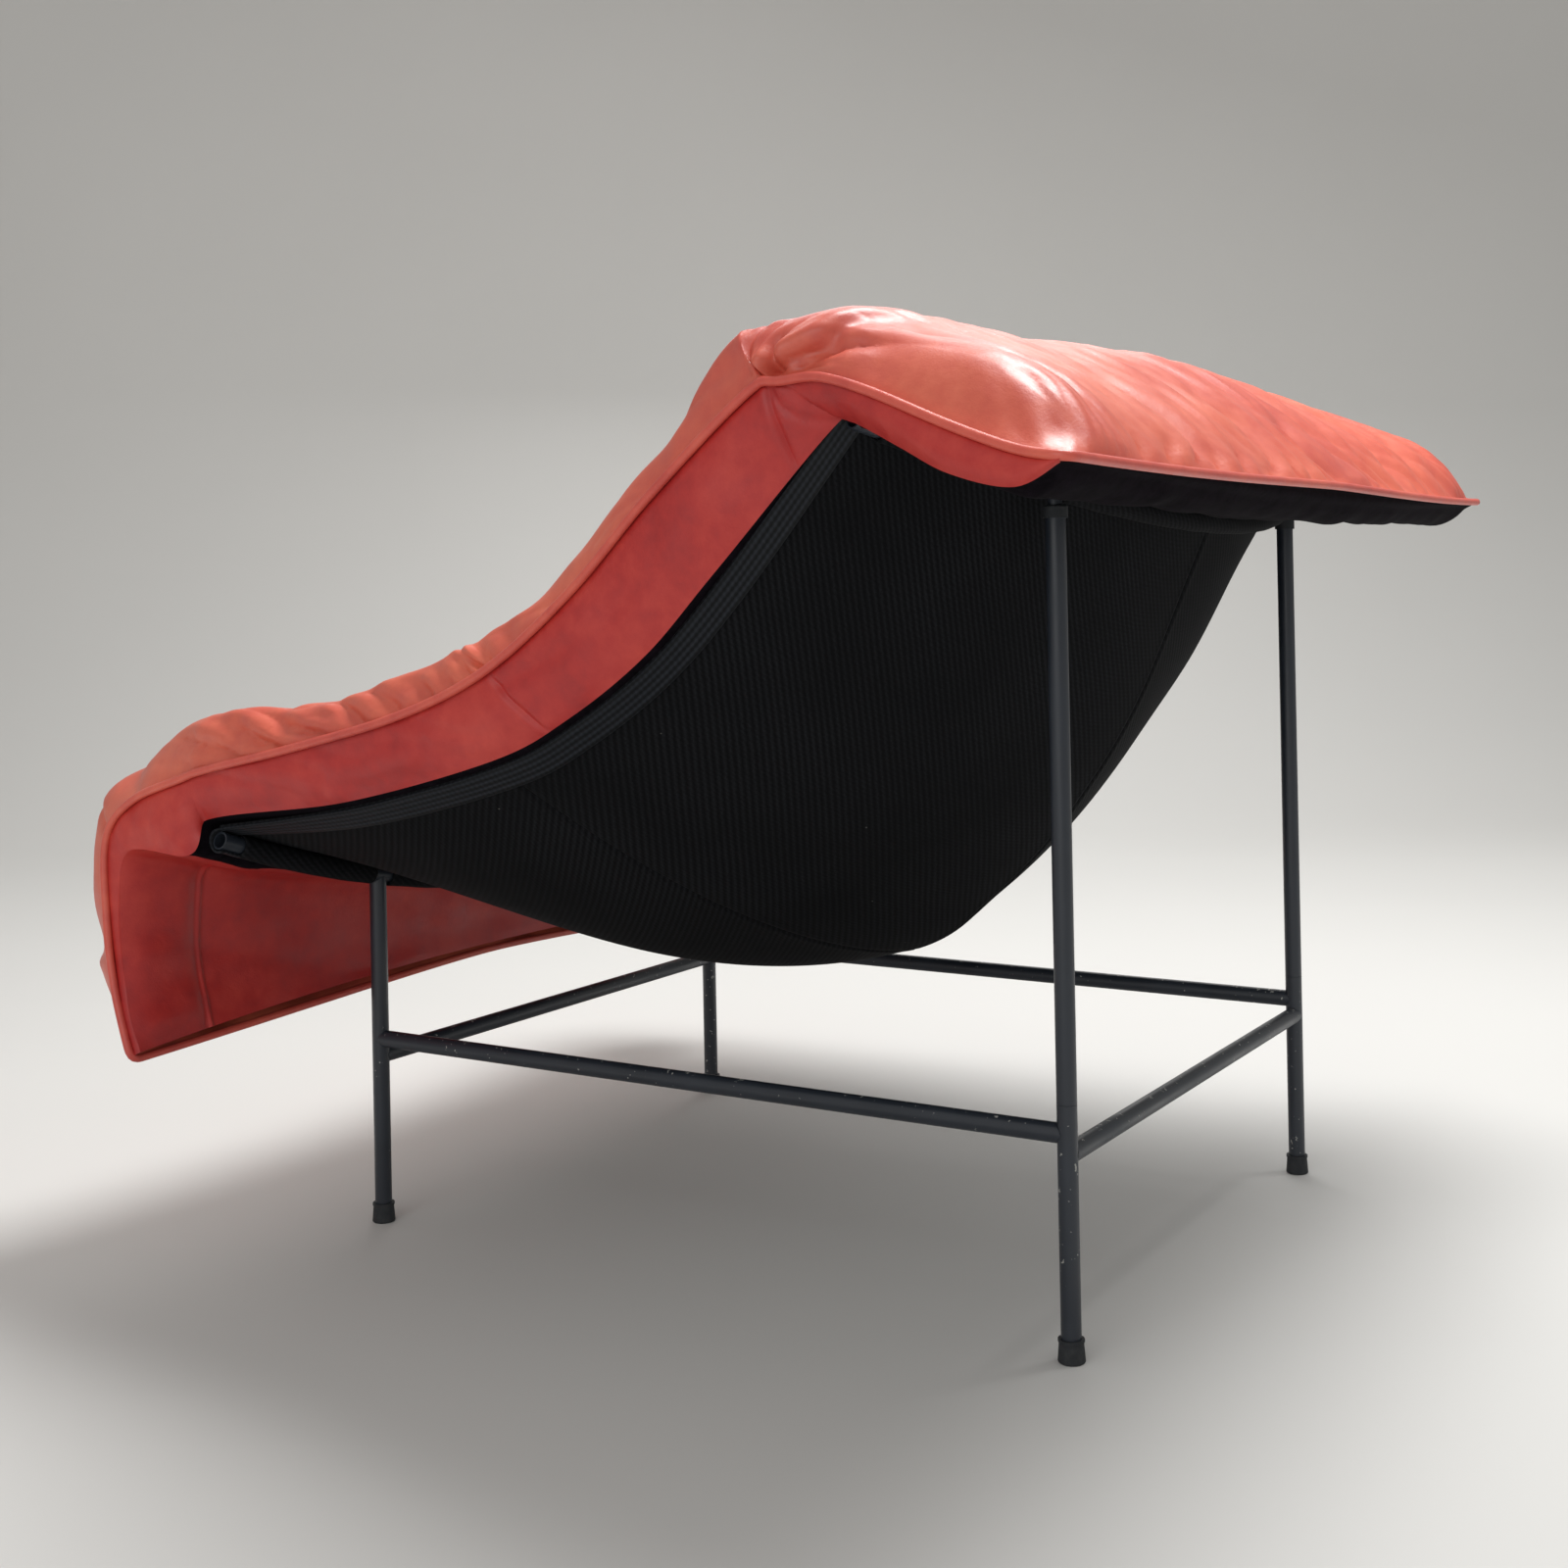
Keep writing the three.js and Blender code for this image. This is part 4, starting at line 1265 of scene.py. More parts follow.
@dataclass
class LeatherPad:
    """The loose leather pad: simulated skin in sewn panels, linings, flap inside and piping."""

    form: PadSurface
    top_leather: Material
    # The top leather painted a darker, deeper red as shade, for the side facings and the flap inside.
    side_leather: Material
    piping_leather: Material
    lining: Material
    cell: float = 10.0
    side_rows: int = 9
    pressure: float = 4.0
    frames: int = 20
    most_move: float = 9.0
    piping_radius: float = 3.7
    piping_sides: int = 10
    strip_width: float = 80.0
    strip_swell: float = 7.0
    seed: int = 11
    # Folds beside the ridge seam: corners as distances behind the seam and inside the piping, depth, width.
    ridge_folds: tuple = (
        (((6, 6), (13, 16), (36, 21), (55, 26), (71, 36), (82, 52), (92, 72)), 9.0, 4.5),
        (((14, 6), (21, 12), (45, 16), (69, 28), (95, 42), (115, 51), (136, 58)), 8.0, 5.0),
        (((26, 6), (34, 11), (48, 12), (64, 14), (86, 16)), 4.5, 3.5),
        (((3, 5), (11, 15), (20, 22), (23, 32), (27, 42), (31, 56)), 8.0, 3.5),
        (((-3, 6), (-10, 18), (-8, 30)), 3.0, 4.0),
    )
    # Folds of the seat's edges: corners as distances behind the seat seam and inside the piping.
    seat_folds: tuple = (
        (((-288, 4), (-300, 17), (-322, 34), (-352, 56)), 6.0, 7.0),
        (((-236, 3), (-248, 17), (-263, 30), (-292, 56)), 7.0, 7.0),
        (((-180, 5), (-194, 20), (-210, 32), (-236, 60)), 6.5, 7.0),
        (((-139, 5), (-135, 34), (-139, 58), (-150, 84)), 6.0, 6.5),
        (((-101, 4), (-93, 37), (-100, 63), (-112, 84)), 6.0, 6.0),
        (((-64, 3), (-55, 35), (-60, 62)), 6.0, 5.0),
        (((-36, 4), (-30, 30), (-34, 56)), 4.5, 4.5),
        (((-16, 6), (-8, 33), (-10, 54)), 4.0, 4.0),
        (((8, 6), (16, 35), (14, 60)), 4.0, 5.0),
        (((34, 5), (46, 34), (50, 60)), 3.0, 6.0),
    )
    # Folds of the side facings: corners as distances behind the seat seam and below the piping.
    facing_folds: tuple = (
        (((-290, 66), (-250, 62), (-215, 30), (-160, 4)), 2.6, 5.0),
        (((-8, 16), (40, 22), (112, 36)), 2.4, 5.0),
        (((-120, 60), (-96, 34), (-82, 8)), 1.6, 4.0),
    )
    # The curved seam that runs from the ridge to the rear bar, as corners in Y and Z.
    gusset_seam: tuple = ((236, 740), (243, 727), (255, 719), (268, 716), (281, 715))
    near_seam: tuple = (-0.16, -0.12, -0.09, -0.06, -0.04, -0.022, -0.01, 0.01, 0.022, 0.04, 0.06, 0.09, 0.12)

    def __post_init__(self) -> None:
        """Lays out the coarse grid that the cloth is simulated on."""
        self.lines = self.spread(self.cell)
        side = np.linspace(0, 1, self.side_rows)[1:]
        self.across = np.concatenate([-1 - side[::-1], self.spread_across(self.cell), 1 + side])

    def spread(self, cell: float) -> Array:
        """Spreads lines evenly along each section of the pad.

        Args:
            cell: The spacing in millimetres.

        Returns:
            The lines.
        """
        lines = []
        for _, start, end in (panel.value for panel in Panel):
            fine = np.linspace(start, end, 200)
            length = sum(travelled(self.form.top(fine, t)) / 3 for t in (0.0, 0.6, 1.0))
            count = max(int(round(length[-1] / cell)), 3)
            lines.append(np.interp(np.linspace(0, length[-1], count + 1), length, fine)[:-1])
        return np.concatenate([*lines, [REAR_EDGE]])

    def spread_across(self, cell: float) -> Array:
        """Spreads places across the pad's top, closer beside the piping.

        Args:
            cell: The mean spacing in millimetres.

        Returns:
            The places, from -1 to 1.
        """
        count = int((self.form.sling.half_span + self.form.overhang) / cell)
        bent = 1 - (1 - np.linspace(0, 1, count + 1)) ** 1.18
        return np.concatenate([-bent[:0:-1], bent])

    def inflate(self) -> Array:
        """Blows the skin up as cloth, held along its seams, and measures how it moved.

        Returns:
            The moves in millimetres, rows by columns by 3.
        """
        line, across = np.meshgrid(self.lines, self.across, indexing="ij")
        start = self.form.skin(line, across)
        work = make_object("pad_in_the_making", start, grid_faces(*line.shape))
        self.turn_out(work)
        held = np.isclose(np.abs(across), 1) | np.isclose(np.abs(across), 2)
        for panel in Panel:
            held |= np.isclose(line, panel.value[1]) | np.isclose(line, panel.value[2])
        group = work.vertex_groups.new(name="sewn")
        group.add(np.flatnonzero(held.ravel()).tolist(), 1.0, "REPLACE")
        cloth = work.modifiers.new("cloth", "CLOTH")
        for setting, value in {
            "quality": 5, "mass": 0.4, "tension_stiffness": 25, "compression_stiffness": 25,
            "shear_stiffness": 12, "bending_stiffness": 0.6, "vertex_group_mass": "sewn",
            "pin_stiffness": 1.0, "use_pressure": True, "uniform_pressure_force": self.pressure,
            "shrink_min": -0.035, "shrink_max": -0.035,
        }.items():
            setattr(cloth.settings, setting, value)
        cloth.settings.effector_weights.gravity = 0
        cloth.collision_settings.use_collision = False
        cloth.point_cache.frame_start, cloth.point_cache.frame_end = 1, self.frames
        scene = bpy.context.scene
        for frame in range(1, self.frames + 1):
            scene.frame_set(frame)
        shaped = work.evaluated_get(bpy.context.evaluated_depsgraph_get())
        moved = read_points(shaped).reshape(start.shape) - start
        scene.frame_set(1)
        bpy.data.objects.remove(work)
        LOG.info("the skin moved %.1f mm at most", np.linalg.norm(moved, axis=-1).max())
        return self.keep_folds(moved, held)

    def turn_out(self, piece: Object) -> None:
        """Turns the skin's faces to the outside of the pad.

        Args:
            piece: The skin.
        """
        middle = piece.data.polygons[len(piece.data.polygons) // 2]
        if middle.normal.y > 0 and middle.normal.z < 0:
            piece.data.flip_normals()

    def keep_folds(self, moved: Array, held: Array) -> Array:
        """Keeps the folds and takes out most of the even swelling.

        Args:
            moved: The moves in millimetres.
            held: Which points are sewn down and stay.

        Returns:
            Moves with a cap.
        """
        even = moved.copy()
        for _ in range(14):
            even = around(even) / 4
            even[held] = 0
        folded = moved - 0.75 * even
        for _ in range(3):
            folded = np.where(held[..., None], folded, folded * 0.4 + around(folded) * 0.15)
        size = np.linalg.norm(folded, axis=-1, keepdims=True)
        return folded * np.minimum(1, self.most_move / np.maximum(size, 1e-6))

    def refine(self, values: Array, old: Array, new: Array) -> Array:
        """Reads a table, whose rows lie at old places, at new places."""
        return smooth_at(values, np.interp(new, old, np.arange(len(old))))

    def near_seams(self) -> Array:
        """Lays out extra lines beside the cross seams, about 2 mm apart.

        Returns:
            The lines.
        """
        steps = np.array(self.near_seam)
        behind = RIDGE + np.arange(0.14, 0.62, 0.025)
        return np.concatenate([FRONT_SEAM + steps, SEAT_SEAM + steps, RIDGE + steps, behind])

    def build(self) -> None:
        """Builds and dresses the whole pad."""
        moved = self.inflate()
        lines = merged(0.004, finer(self.lines), self.near_seams())
        beside = np.arange(2.5, 95, 2.5) / (self.form.sling.half_span + self.form.overhang)
        across = merged(0.0015, finer(self.across), 1 - beside, beside - 1)
        moved = self.refine(moved, self.lines, lines)
        moved = self.refine(moved.transpose(1, 0, 2), self.across, across).transpose(1, 0, 2)
        line, place = np.meshgrid(lines, across, indexing="ij")
        skin = SkinMap(line, place, self.form.skin(line, place))
        calm = np.where(np.abs(place) > 1, 0.5 - 0.3 * smooth_step(11.3, 11.9, line), 1.0)
        points = skin.points + moved * calm[..., None]
        self.add_panels(skin, points + facing_out(skin.points) * self.relief(skin)[..., None])
        self.add_underside(lines)
        self.add_piping()

    def wander(self, a: Array, b: Array, size: float, key: int) -> Array:
        """Returns a soft irregular field between about -1 and 1.

        Args:
            a: The first coordinate in millimetres.
            b: The second coordinate.
            size: The size of its swells in millimetres.
            key: Which field.

        Returns:
            The field.
        """
        random = np.random.default_rng(self.seed + key)
        total = np.zeros_like(a)
        for _ in range(9):
            angle, phase = random.uniform(0, 2 * math.pi, 2)
            pace = 2 * math.pi / size * random.uniform(0.6, 1.5)
            total = total + np.sin((a * math.cos(angle) + b * math.sin(angle)) * pace + phase)
        return total / 4

    def relief(self, skin: SkinMap) -> Array:
        """Works out the creases, puckers and pressed seams of the leather, in millimetres."""
        ends = smooth_step(0, 9, skin.run) * smooth_step(0, 9, skin.run[-1:] - skin.run)
        return np.where(np.abs(skin.place) <= 1, self.top_relief(skin), self.side_relief(skin)) * ends

    def top_relief(self, skin: SkinMap) -> Array:
        """Works out the relief of the top panels.

        Args:
            skin: The skin's grid.

        Returns:
            Heights in millimetres.
        """
        line, x, run, edge = skin.line, skin.x, skin.run, skin.edge
        drift = self.wander(run, x, 150, 1)
        height = 1.6 * self.wander(run, x, 170, 2) * smooth_step(0, 60, edge)
        seat = smooth_step(3.6, 4.8, line) * smooth_step(8.3, 7.6, line)
        phase = (run + (1.1 - 1.1 * smooth_step(6.1, 6.7, line)) * edge) / 50 + 0.35 * drift
        height += 2.6 * seat * puffs(phase, 0.6) * np.exp(-edge / 60) * smooth_step(2, 12, edge)
        height += folds(skin.past_seat, edge, self.seat_folds)
        back = smooth_step(8.0, 8.5, line) * smooth_step(11.0, 10.6, line)
        height += 2.4 * back * puffs((edge + 0.12 * run) / 58 + 0.5 * drift, 0.9) * np.exp(-edge / 120)
        height += 2.0 * back * puffs((run - 0.8 * edge) / 64 + 0.4 * drift) * np.exp(-edge / 45)
        height += 1.3 * smooth_step(2.9, 2.4, line) * self.wander(run, x, 70, 3)
        height += self.head_relief(skin, drift)
        seams = ((skin.past_front, 1.6, 5), (skin.past_seat, 1.6, 6), (skin.past_ridge, 1.8, 7))
        for past, deep, key in seams:
            away = np.abs(past)
            height -= deep * (1 + 2.8 * bell(edge - 12, 20)) * bell(past, 3.2)
            height += 0.9 * bell(away - 8, 6)
            pinch = puffs(x / 24 + 0.5 * self.wander(x, x * 0, 90, key), 0.8)
            height += 1.3 * pinch * np.exp(-away / 22) * smooth_step(1.5, 7, away)
        return height * smooth_step(0, 5, edge) - 1.5 * bell(edge, 3.0)

    def head_relief(self, skin: SkinMap, drift: Array) -> Array:
        """Works out the relief of the head flap: gathers that fan out from the ridge, and long stripes.

        Args:
            skin: The skin's grid.
            drift: A slow irregular field.

        Returns:
            Heights in millimetres.
        """
        x, edge, past = skin.x, skin.edge, skin.past_ridge
        side, behind = np.sign(x), np.maximum(past, 0)
        head = smooth_step(11.02, 11.3, skin.line)
        rear = np.maximum(skin.run[-1:] - skin.run, 0)
        reach = np.hypot(edge, past)
        fan = np.arctan2(edge + 4, behind + 1)
        corner = puffs(fan / 0.34 + 0.12, 0.6) * bell(reach - 52, 46) * (past > 0)
        height = 2.0 * corner * smooth_step(0, 14, past) + folds(past, edge, self.ridge_folds)
        before = puffs(np.arctan2(edge + 4, np.maximum(-past, 0) + 1) / 0.42, 0.7)
        height += 0.6 * before * bell(reach - 34, 26) * (past < 0) * smooth_step(0, 12, -past)
        lean = x + side * past * 0.16
        broad = puffs(lean / 61 + 0.35 * drift, 1.1) * 3.2
        fine = puffs(lean / 27 + 0.3 * drift + 0.3, 0.8) * 1.7
        long = head * smooth_step(0, 90, past) * smooth_step(0, 70, rear)
        height += (broad + fine) * long * smooth_step(10, 90, edge)
        gather = head * np.exp(-behind / 75) * smooth_step(0, 12, past)
        height += 2.4 * puffs(lean / 33 + 0.5 * drift, 0.75) * gather * smooth_step(60, 130, edge)
        curl = puffs((x + 14 * np.sin(rear / 20) + 0.6 * rear * side) / 55 + 0.5 * drift)
        curled = 8.0 * curl * np.exp(-rear / 42) * smooth_step(0, 14, rear)
        height += curled * head * smooth_step(25, 120, edge)
        tight = puffs((x * 0.9 + rear * 0.5 * side) / 15, 0.8)
        return height + 2.2 * tight * bell(np.hypot(edge - 60, rear - 40), 60) * head

    def side_relief(self, skin: SkinMap) -> Array:
        """Works out the relief of the side facings.

        Args:
            skin: The skin's grid.

        Returns:
            Heights in millimetres.
        """
        line, run, edge = skin.line, skin.run, skin.edge
        share = np.abs(skin.place) - 1
        drift = self.wander(run, edge, 120, 8)
        height = 1.7 * self.wander(run, edge * 1.5, 95, 9)
        height += 2.2 * bell(line - 3.7, 0.5) * puffs((run * 0.8 + edge * 0.9) / 19 + 0.5 * drift, 0.8)
        height += folds(skin.past_seat, edge, self.facing_folds)
        seat = smooth_step(4, 5, line) * smooth_step(8, 7.2, line)
        height += 1.8 * seat * puffs((run - 1.4 * edge) / 83 + 0.4 * drift, 0.8)
        back = smooth_step(8.1, 8.6, line) * smooth_step(10.9, 10.4, line)
        height += 1.6 * back * puffs((run + 1.1 * edge) / 97 + 0.5 * drift, 0.8)
        ridge = bell(line - 11.35, 0.3) * np.exp(-edge / 30)
        height += 1.5 * ridge * puffs((run + 0.35 * edge) / 19 + 0.3 * drift, 0.8)
        height *= 1 - 0.85 * smooth_step(11.8, 12.2, line)
        for past in (skin.past_seat, skin.past_ridge):
            height += 0.8 * bell(np.abs(past) - 6, 4) - 1.7 * bell(past, 2.4)
        depth = skin.points[..., 1] - self.form.sling.shift
        gusset, _ = beside_path(depth, skin.points[..., 2], self.gusset_seam)
        height += 0.7 * bell(gusset - 6, 4) - 1.7 * bell(gusset, 2.2)
        off = smooth_step(0, 0.12, share) * smooth_step(1.0, 0.9, share)
        return height * off - 0.6 * bell(edge, 2.0)

    def add_panels(self, skin: SkinMap, points: Array) -> None:
        """Cuts the skin into its sewn panels and dresses them.

        Args:
            skin: The skin's grid.
            points: The finished points.
        """
        rows, places = skin.line[:, 0], skin.place[0]
        for name, low, high in (panel.value for panel in Panel):
            part = points[(rows >= low - 1e-4) & (rows <= high + 1e-4)]
            nodes = [f"{name}_top_leather", f"{name}_filling"]
            part = part[:, np.abs(places) <= 1 + 1e-6]
            self.add_panel(f"pad_{name}_leather", part, self.top_leather, nodes)
        for sign, side in SIDES:
            for name, low, high in (("seat", 0, SEAT_SEAM), Panel.BACK.value, Panel.HEAD.value):
                part = points[(rows >= low - 1e-4) & (rows <= high + 1e-4)][:, places * sign >= 1 - 1e-6]
                node = f"{name}_facing_{side}"
                self.add_panel(f"pad_{node}", part, self.side_leather, [node])

    def add_panel(
        self, name: str, points: Array, material: Material, nodes: Sequence[str],
        flipped: bool = True,
    ) -> None:
        """Adds one padded piece made from a grid of points.

        Args:
            name: The piece's name.
            points: Rows by columns by 3.
            material: Its material.
            nodes: The CAD nodes that it stands for.
            flipped: Whether its faces point to the grid's other side.
        """
        faces = grid_faces(*points.shape[:2])
        piece = make_object(name, points, [face[::-1] for face in faces] if flipped else faces)
        finish_piece(piece, material, nodes)

    def add_underside(self, lines: Array) -> None:
        """Adds the linings and the leather inside the front flap.

        Args:
            lines: The lines of the skin, so that the edges meet.
        """
        half = self.form.sling.half_span
        welt = 1 - (self.strip_width + np.array([-7, -4.5, -2.5, -1.2, 0, 1.2, 2.5, 4.5, 7])) / half
        t = np.unique(np.concatenate([finer(self.spread_across(self.cell * 1.4)), welt, -welt]))
        line, place = np.meshgrid(lines, t, indexing="ij")
        points = self.form.under(line, place)
        x, run = points[..., 0], travelled(points)
        edge = (1 - np.abs(place)) * half
        free = smooth_step(4.9, 4.2, line) + smooth_step(11.2, 12.2, line)
        off = smooth_step(0, 12, edge) * smooth_step(0, 0.4, line) * smooth_step(16, 15.6, line)
        height = free * off * (1.5 * self.wander(run, x, 120, 21) + 0.8 * self.wander(run, x, 45, 22))
        welt = edge - self.strip_width
        beside = bell(welt - 5, 3.5) + bell(welt + 5, 3.5)
        height += smooth_step(4.2, 3.4, line) * (1.9 * bell(welt, 2.2) - 1.3 * beside)
        swell = np.sin(np.clip(edge / self.strip_width, 0, 1) * math.pi) ** 0.8
        height += smooth_step(3.4, 2.6, line) * smooth_step(0, 0.5, line) * self.strip_swell * swell
        height += 5.0 * bell(line - 15.2, 0.7) * off
        points = points - facing_out(points) * height[..., None]
        front, ridge = (int(np.argmin(np.abs(lines - stop))) for stop in (4, RIDGE))
        head = np.concatenate([points[ridge:], self.close_rear(t)])
        for name, part, material, slot, nodes in (
            # The flap inside takes the side copy of the leather, which is painted darker as shade.
            ("pad_flap_inside", points[: front + 1], self.side_leather, "side_leather",
             ["flap_inner_panel", "flap_inner_strip_left", "flap_inner_strip_right"]),
            ("pad_seat_and_back_lining", points[front : ridge + 1], self.lining, "lining",
             ["seat_and_back_lining"]),
            ("pad_head_lining", head, self.lining, "lining", ["head_lining"]),
        ):
            self.add_panel(name, part, material, nodes, flipped=False)

    def close_rear(self, t: Array) -> Array:
        """Returns rows that carry the head lining up to the rear piping.

        Args:
            t: Places across the pad.

        Returns:
            The points in millimetres, five rows.
        """
        low, high = self.form.under(REAR_EDGE, t), self.form.top(REAR_EDGE, t)
        shares = np.array([0.2, 0.4, 0.6, 0.8, 1.0])[:, None]
        rows = mix(low[None], high[None], shares[..., None])
        rows[..., 1] += 5 * np.sin(shares * math.pi) * (1 - shares) * (1 - np.abs(t)[None] ** 6)
        return rows

    def add_piping(self) -> None:
        """Adds the corded piping round the whole pad in one loop."""
        top, lines, t = self.form.top, finer(self.lines), finer(self.spread_across(self.cell))
        beside, behind = self.piping_radius * 0.8, self.piping_radius * 1.2
        left = top(lines, 1.0) + [beside, 0, 0]
        rear = top(REAR_EDGE, t)[::-1] + [0, behind, 0]
        right = top(lines, -1.0)[::-1] - [beside, 0, 0]
        front = top(0.0, t) - [0, 0, beside]
        path = np.concatenate([left, rear[1:-1], right, front[1:-1]])
        path = path[np.linalg.norm(np.roll(path, -1, 0) - path, axis=1) > 0.5]
        for _ in range(3):
            path = (np.roll(path, 1, 0) + 2 * path + np.roll(path, -1, 0)) / 4
        piece = ring_mesh("pad_piping", path, self.piping_radius, self.piping_sides)
        nodes = [f"piping_{name}" for name in ("left", "right", "flap_bottom", "rear_edge")]
        finish_piece(piece, self.piping_leather, nodes)


# Steel base


@dataclass
class SteelBase:
    """The rigid parts that stay as the frame made them, with smoother shading and real finishes."""

    nodes: dict
    enamel: Material
    rubber: Material
    steel: Material
    crease_angle: float = math.radians(35)
    weld_distance: float = 0.01

    def build(self) -> None:
        """Dresses every rigid node that isn't replaced."""
        rounding = self.rounding()
        for name, node in sorted(self.nodes.items()):
            if node.hide_render:
                continue
            node.data.materials.clear()
            node.data.materials.append(self.finish_for(name))
            modifier = node.modifiers.new("rounding", "NODES")
            modifier.node_group = rounding
            LOG.info("dressed %s", name)

    def finish_for(self, name: str) -> Material:
        """Chooses the finish of a rigid node.

        Args:
            name: The node's name.

        Returns:
            Its material.
        """
        if "foot" in name or "cap" in name:
            return self.rubber
        return self.steel if "spigot" in name else self.enamel

    def rounding(self) -> NodeTree:
        """Makes the modifier that welds a node's facets and shades it round, with sharp rims.

        Returns:
            The geometry node group.
        """
        group = bpy.data.node_groups.new("weld_and_round", "GeometryNodeTree")
        for way in ("INPUT", "OUTPUT"):
            group.interface.new_socket("Geometry", in_out=way, socket_type="NodeSocketGeometry")
        mesh = add_node(group, "NodeGroupInput", {})
        mesh = add_node(group, "GeometryNodeRemoveAttribute", {"Geometry": mesh, "Name": "custom_normal"})
        distance = self.weld_distance * MM
        mesh = add_node(group, "GeometryNodeMergeByDistance", {"Geometry": mesh, "Distance": distance})
        angle = add_node(group, "GeometryNodeInputMeshEdgeAngle", {}, "Unsigned Angle")
        sharp = add_node(
            group, "FunctionNodeCompare", {0: angle, 1: self.crease_angle}, "Result",
            data_type="FLOAT", operation="GREATER_THAN",
        )
        smooth = add_node(group, "FunctionNodeBooleanMath", {0: sharp}, operation="NOT")
        for domain, is_smooth in (("FACE", True), ("EDGE", smooth)):
            inputs = {"Geometry": mesh, "Shade Smooth": is_smooth}
            mesh = add_node(group, "GeometryNodeSetShadeSmooth", inputs, domain=domain)
        add_node(group, "NodeGroupOutput", {0: mesh}, None)
        return group


# Stage, light and camera


@dataclass
class Stage:
    """A plain pale floor that rises into a backdrop, soft studio light and a pale world."""

    floor_colour: str = "#d8d7d4"
    backdrop_colour: str = "#d3d2cf"
    world_colour: str = "#f2f1ef"
    world_level: float = 0.5
    mottle_mm: float = 900.0
    behind: tuple = (-0.85, -0.52)
    front_edge: float = -5200.0
    top_edge: float = 6400.0
    rise_start: float = 2600.0
    rise_radius: float = 1600.0
    half_width: float = 7500.0
    # Name, place and target in metres, watts and side in metres of each square lamp.
    lamps: tuple = (
        ("key_light", (-0.7, 0.45, 3.0), (0.0, 0.1, 0.5), 88.0, 1.3),
        ("fill_light", (3.2, 0.6, 1.4), (0.0, 0.0, 0.5), 23.8, 2.4),
        ("far_light", (-2.8, -1.6, 2.6), (0.0, 0.0, 0.5), 34.0, 2.4),
    )

    def build(self) -> None:
        """Builds the floor, the lamps and the world."""
        self.add_floor()
        for name, place, target, watts, size in self.lamps:
            data = bpy.data.lights.new(name, "AREA")
            data.energy, data.size = watts, size
            lamp = bpy.data.objects.new(name, data)
            lamp.location = place
            lamp.rotation_euler = (Vector(target) - Vector(place)).to_track_quat("-Z", "Y").to_euler()
            bpy.context.scene.collection.objects.link(lamp)
        world = bpy.data.worlds.new("pale_studio")
        world.use_nodes = True
        world.node_tree.nodes.clear()
        light = {"Color": linear(self.world_colour), "Strength": self.world_level}
        sky = add_node(world.node_tree, "ShaderNodeBackground", light)
        add_node(world.node_tree, "ShaderNodeOutputWorld", {"Surface": sky}, None)
        bpy.context.scene.world = world

    def add_floor(self) -> None:
        """Builds the floor with its curved rise behind the chair."""
        angle = math.atan2(self.behind[1], self.behind[0])
        away = np.array([math.cos(angle), math.sin(angle), 0.0])
        across = np.array([-away[1], away[0], 0.0]) * self.half_width
        start, radius = self.rise_start, self.rise_radius
        profile = [(self.front_edge, 0.0), (start, 0.0)]
        for bend in np.linspace(0, math.pi / 2, 16)[1:]:
            profile.append((start + radius * math.sin(bend), radius * (1 - math.cos(bend))))
        profile.append((start + radius, self.top_edge))
        points = [
            away * along + across * side + [0, 0, rise] for along, rise in profile for side in (-1, 1)
        ]
        floor = make_object("studio_floor", np.array(points), grid_faces(len(profile), 2))
        material, tree = blank_material("matt_paper")
        place = add_node(tree, "ShaderNodeTexCoord", {}, "Object")
        mottle = add_node(
            tree, "ShaderNodeTexNoise",
            {"Vector": place, "Scale": per_metre(self.mottle_mm), "Detail": 2.0}, "Fac",
        )
        colour = add_node(
            tree, "ShaderNodeMix",
            {"Factor": mottle, 6: linear(self.floor_colour), 7: linear(self.backdrop_colour)}, 2,
            data_type="RGBA",
        )
        surface = {"Base Color": colour, "Roughness": 0.9, "Specular IOR Level": 0.2}
        floor.data.materials.append(close_material(material, surface))


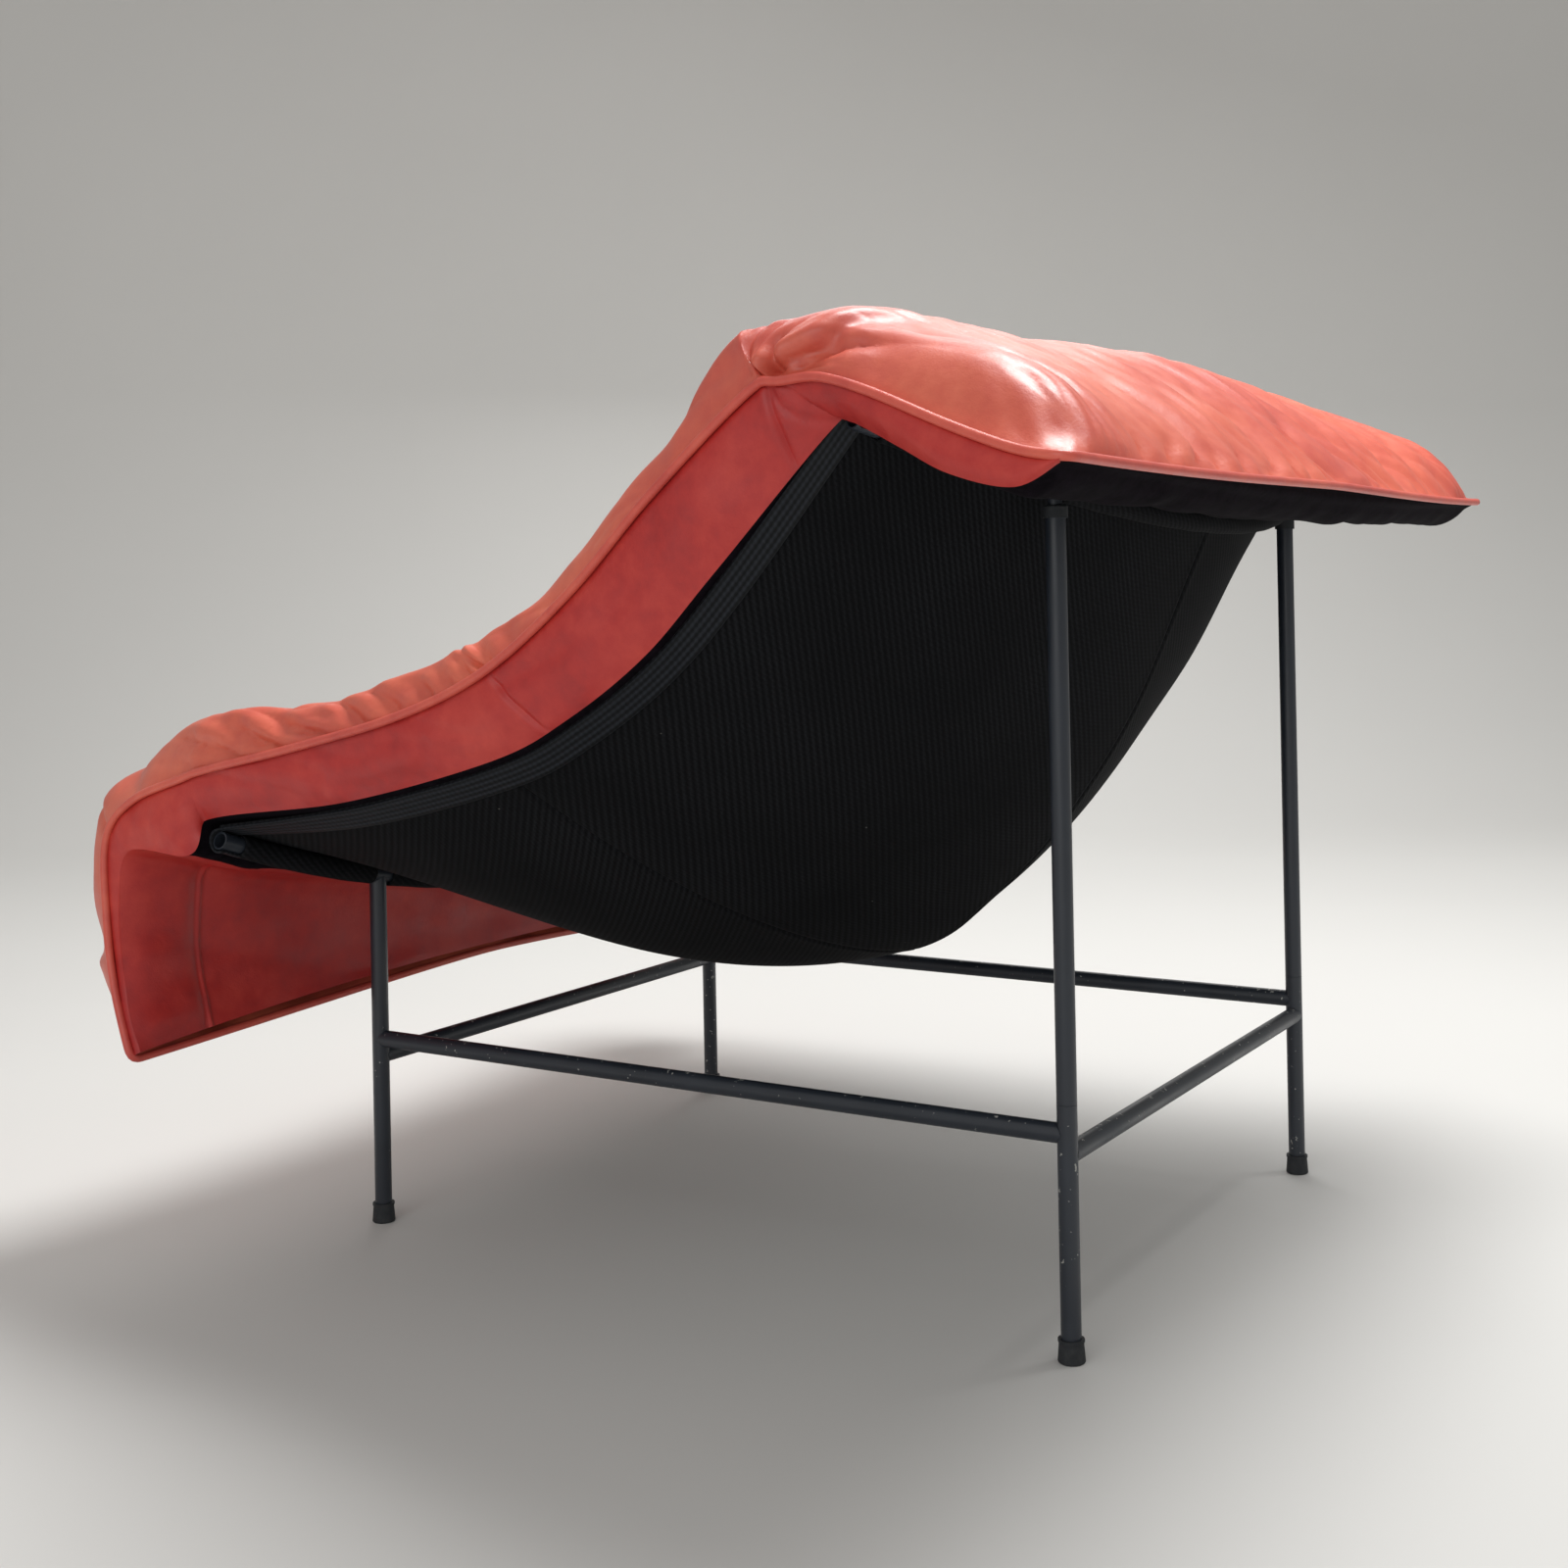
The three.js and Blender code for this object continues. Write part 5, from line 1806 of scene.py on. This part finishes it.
@dataclass
class PhotoCamera:
    """The camera of the photograph: low, behind the chair's left rear corner."""

    place: tuple = (1.68665, 0.99344, 0.59877)
    yaw: float = -2.585
    pitch: float = 0.0029
    roll: float = -0.0190
    lens: float = 45.58
    sensor_width: float = 36.0
    shift: tuple = (-0.00097, -0.12876)

    def build(self) -> None:
        """Builds the camera and makes it the scene's own."""
        level = math.cos(self.pitch)
        look = Vector((level * math.cos(self.yaw), level * math.sin(self.yaw), math.sin(self.pitch)))
        right = Vector((math.sin(self.yaw), -math.cos(self.yaw), 0.0))
        up = right.cross(look)
        turned_right = right * math.cos(self.roll) + up * math.sin(self.roll)
        turned_up = up * math.cos(self.roll) - right * math.sin(self.roll)
        data = bpy.data.cameras.new("photo_camera")
        data.lens, data.sensor_width = self.lens, self.sensor_width
        data.shift_x, data.shift_y = self.shift
        camera = bpy.data.objects.new("photo_camera", data)
        axes = Matrix((turned_right, turned_up, -look)).transposed()
        camera.matrix_world = Matrix.Translation(self.place) @ axes.to_4x4()
        bpy.context.scene.collection.objects.link(camera)
        bpy.context.scene.camera = camera


def main() -> None:
    """Builds the whole chair on its frame."""
    logging.basicConfig(level=logging.INFO, format="%(message)s")
    for piece in list(bpy.data.objects):
        bpy.data.objects.remove(piece)
    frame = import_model()
    bpy.context.scene.view_settings.view_transform = "Standard"
    PhotoCamera().build()
    Stage().build()

    bar_low, bar_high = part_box("front_bar")
    sling = SlingSurface(shift=0.0)
    sling.shift = (bar_low.y + bar_high.y) / 2 / MM + sling.bar_y
    LOG.info("the sling is shifted by %.2f mm", sling.shift)
    CanvasSling(sling, CottonCanvas().build(), RibbedWebbing().build()).build()

    top = Leather("drum_dyed_leather_top", "#d2604a", "#de7055", "#c55144", roughness=0.45, scuffed=True)
    # The facings and the flap inside are the same leather as the top. This copy is painted a darker, deeper
    # red as shade, because those faces turn down and away from the light.
    side = Leather("leather_side_painted_darker_as_shade", "#b32a26", "#c53f34", "#991e20", roughness=0.48, coat=0.06)
    cord = Leather("drum_dyed_leather_piping", "#cf5446", "#dd6650", "#bd443c", roughness=0.4)
    finishes = [finish.build() for finish in (top, side, cord, BrushedLining())]
    LeatherPad(PadSurface(sling), *finishes).build()

    bare_steel = EnamelledSteel(enamel="#8a8d90", worn_enamel="#7c7f82")
    finishes = [finish.build() for finish in (EnamelledSteel(), MouldedRubber(), bare_steel)]
    SteelBase(frame["nodes"], *finishes).build()


if __name__ == "__main__":
    main()
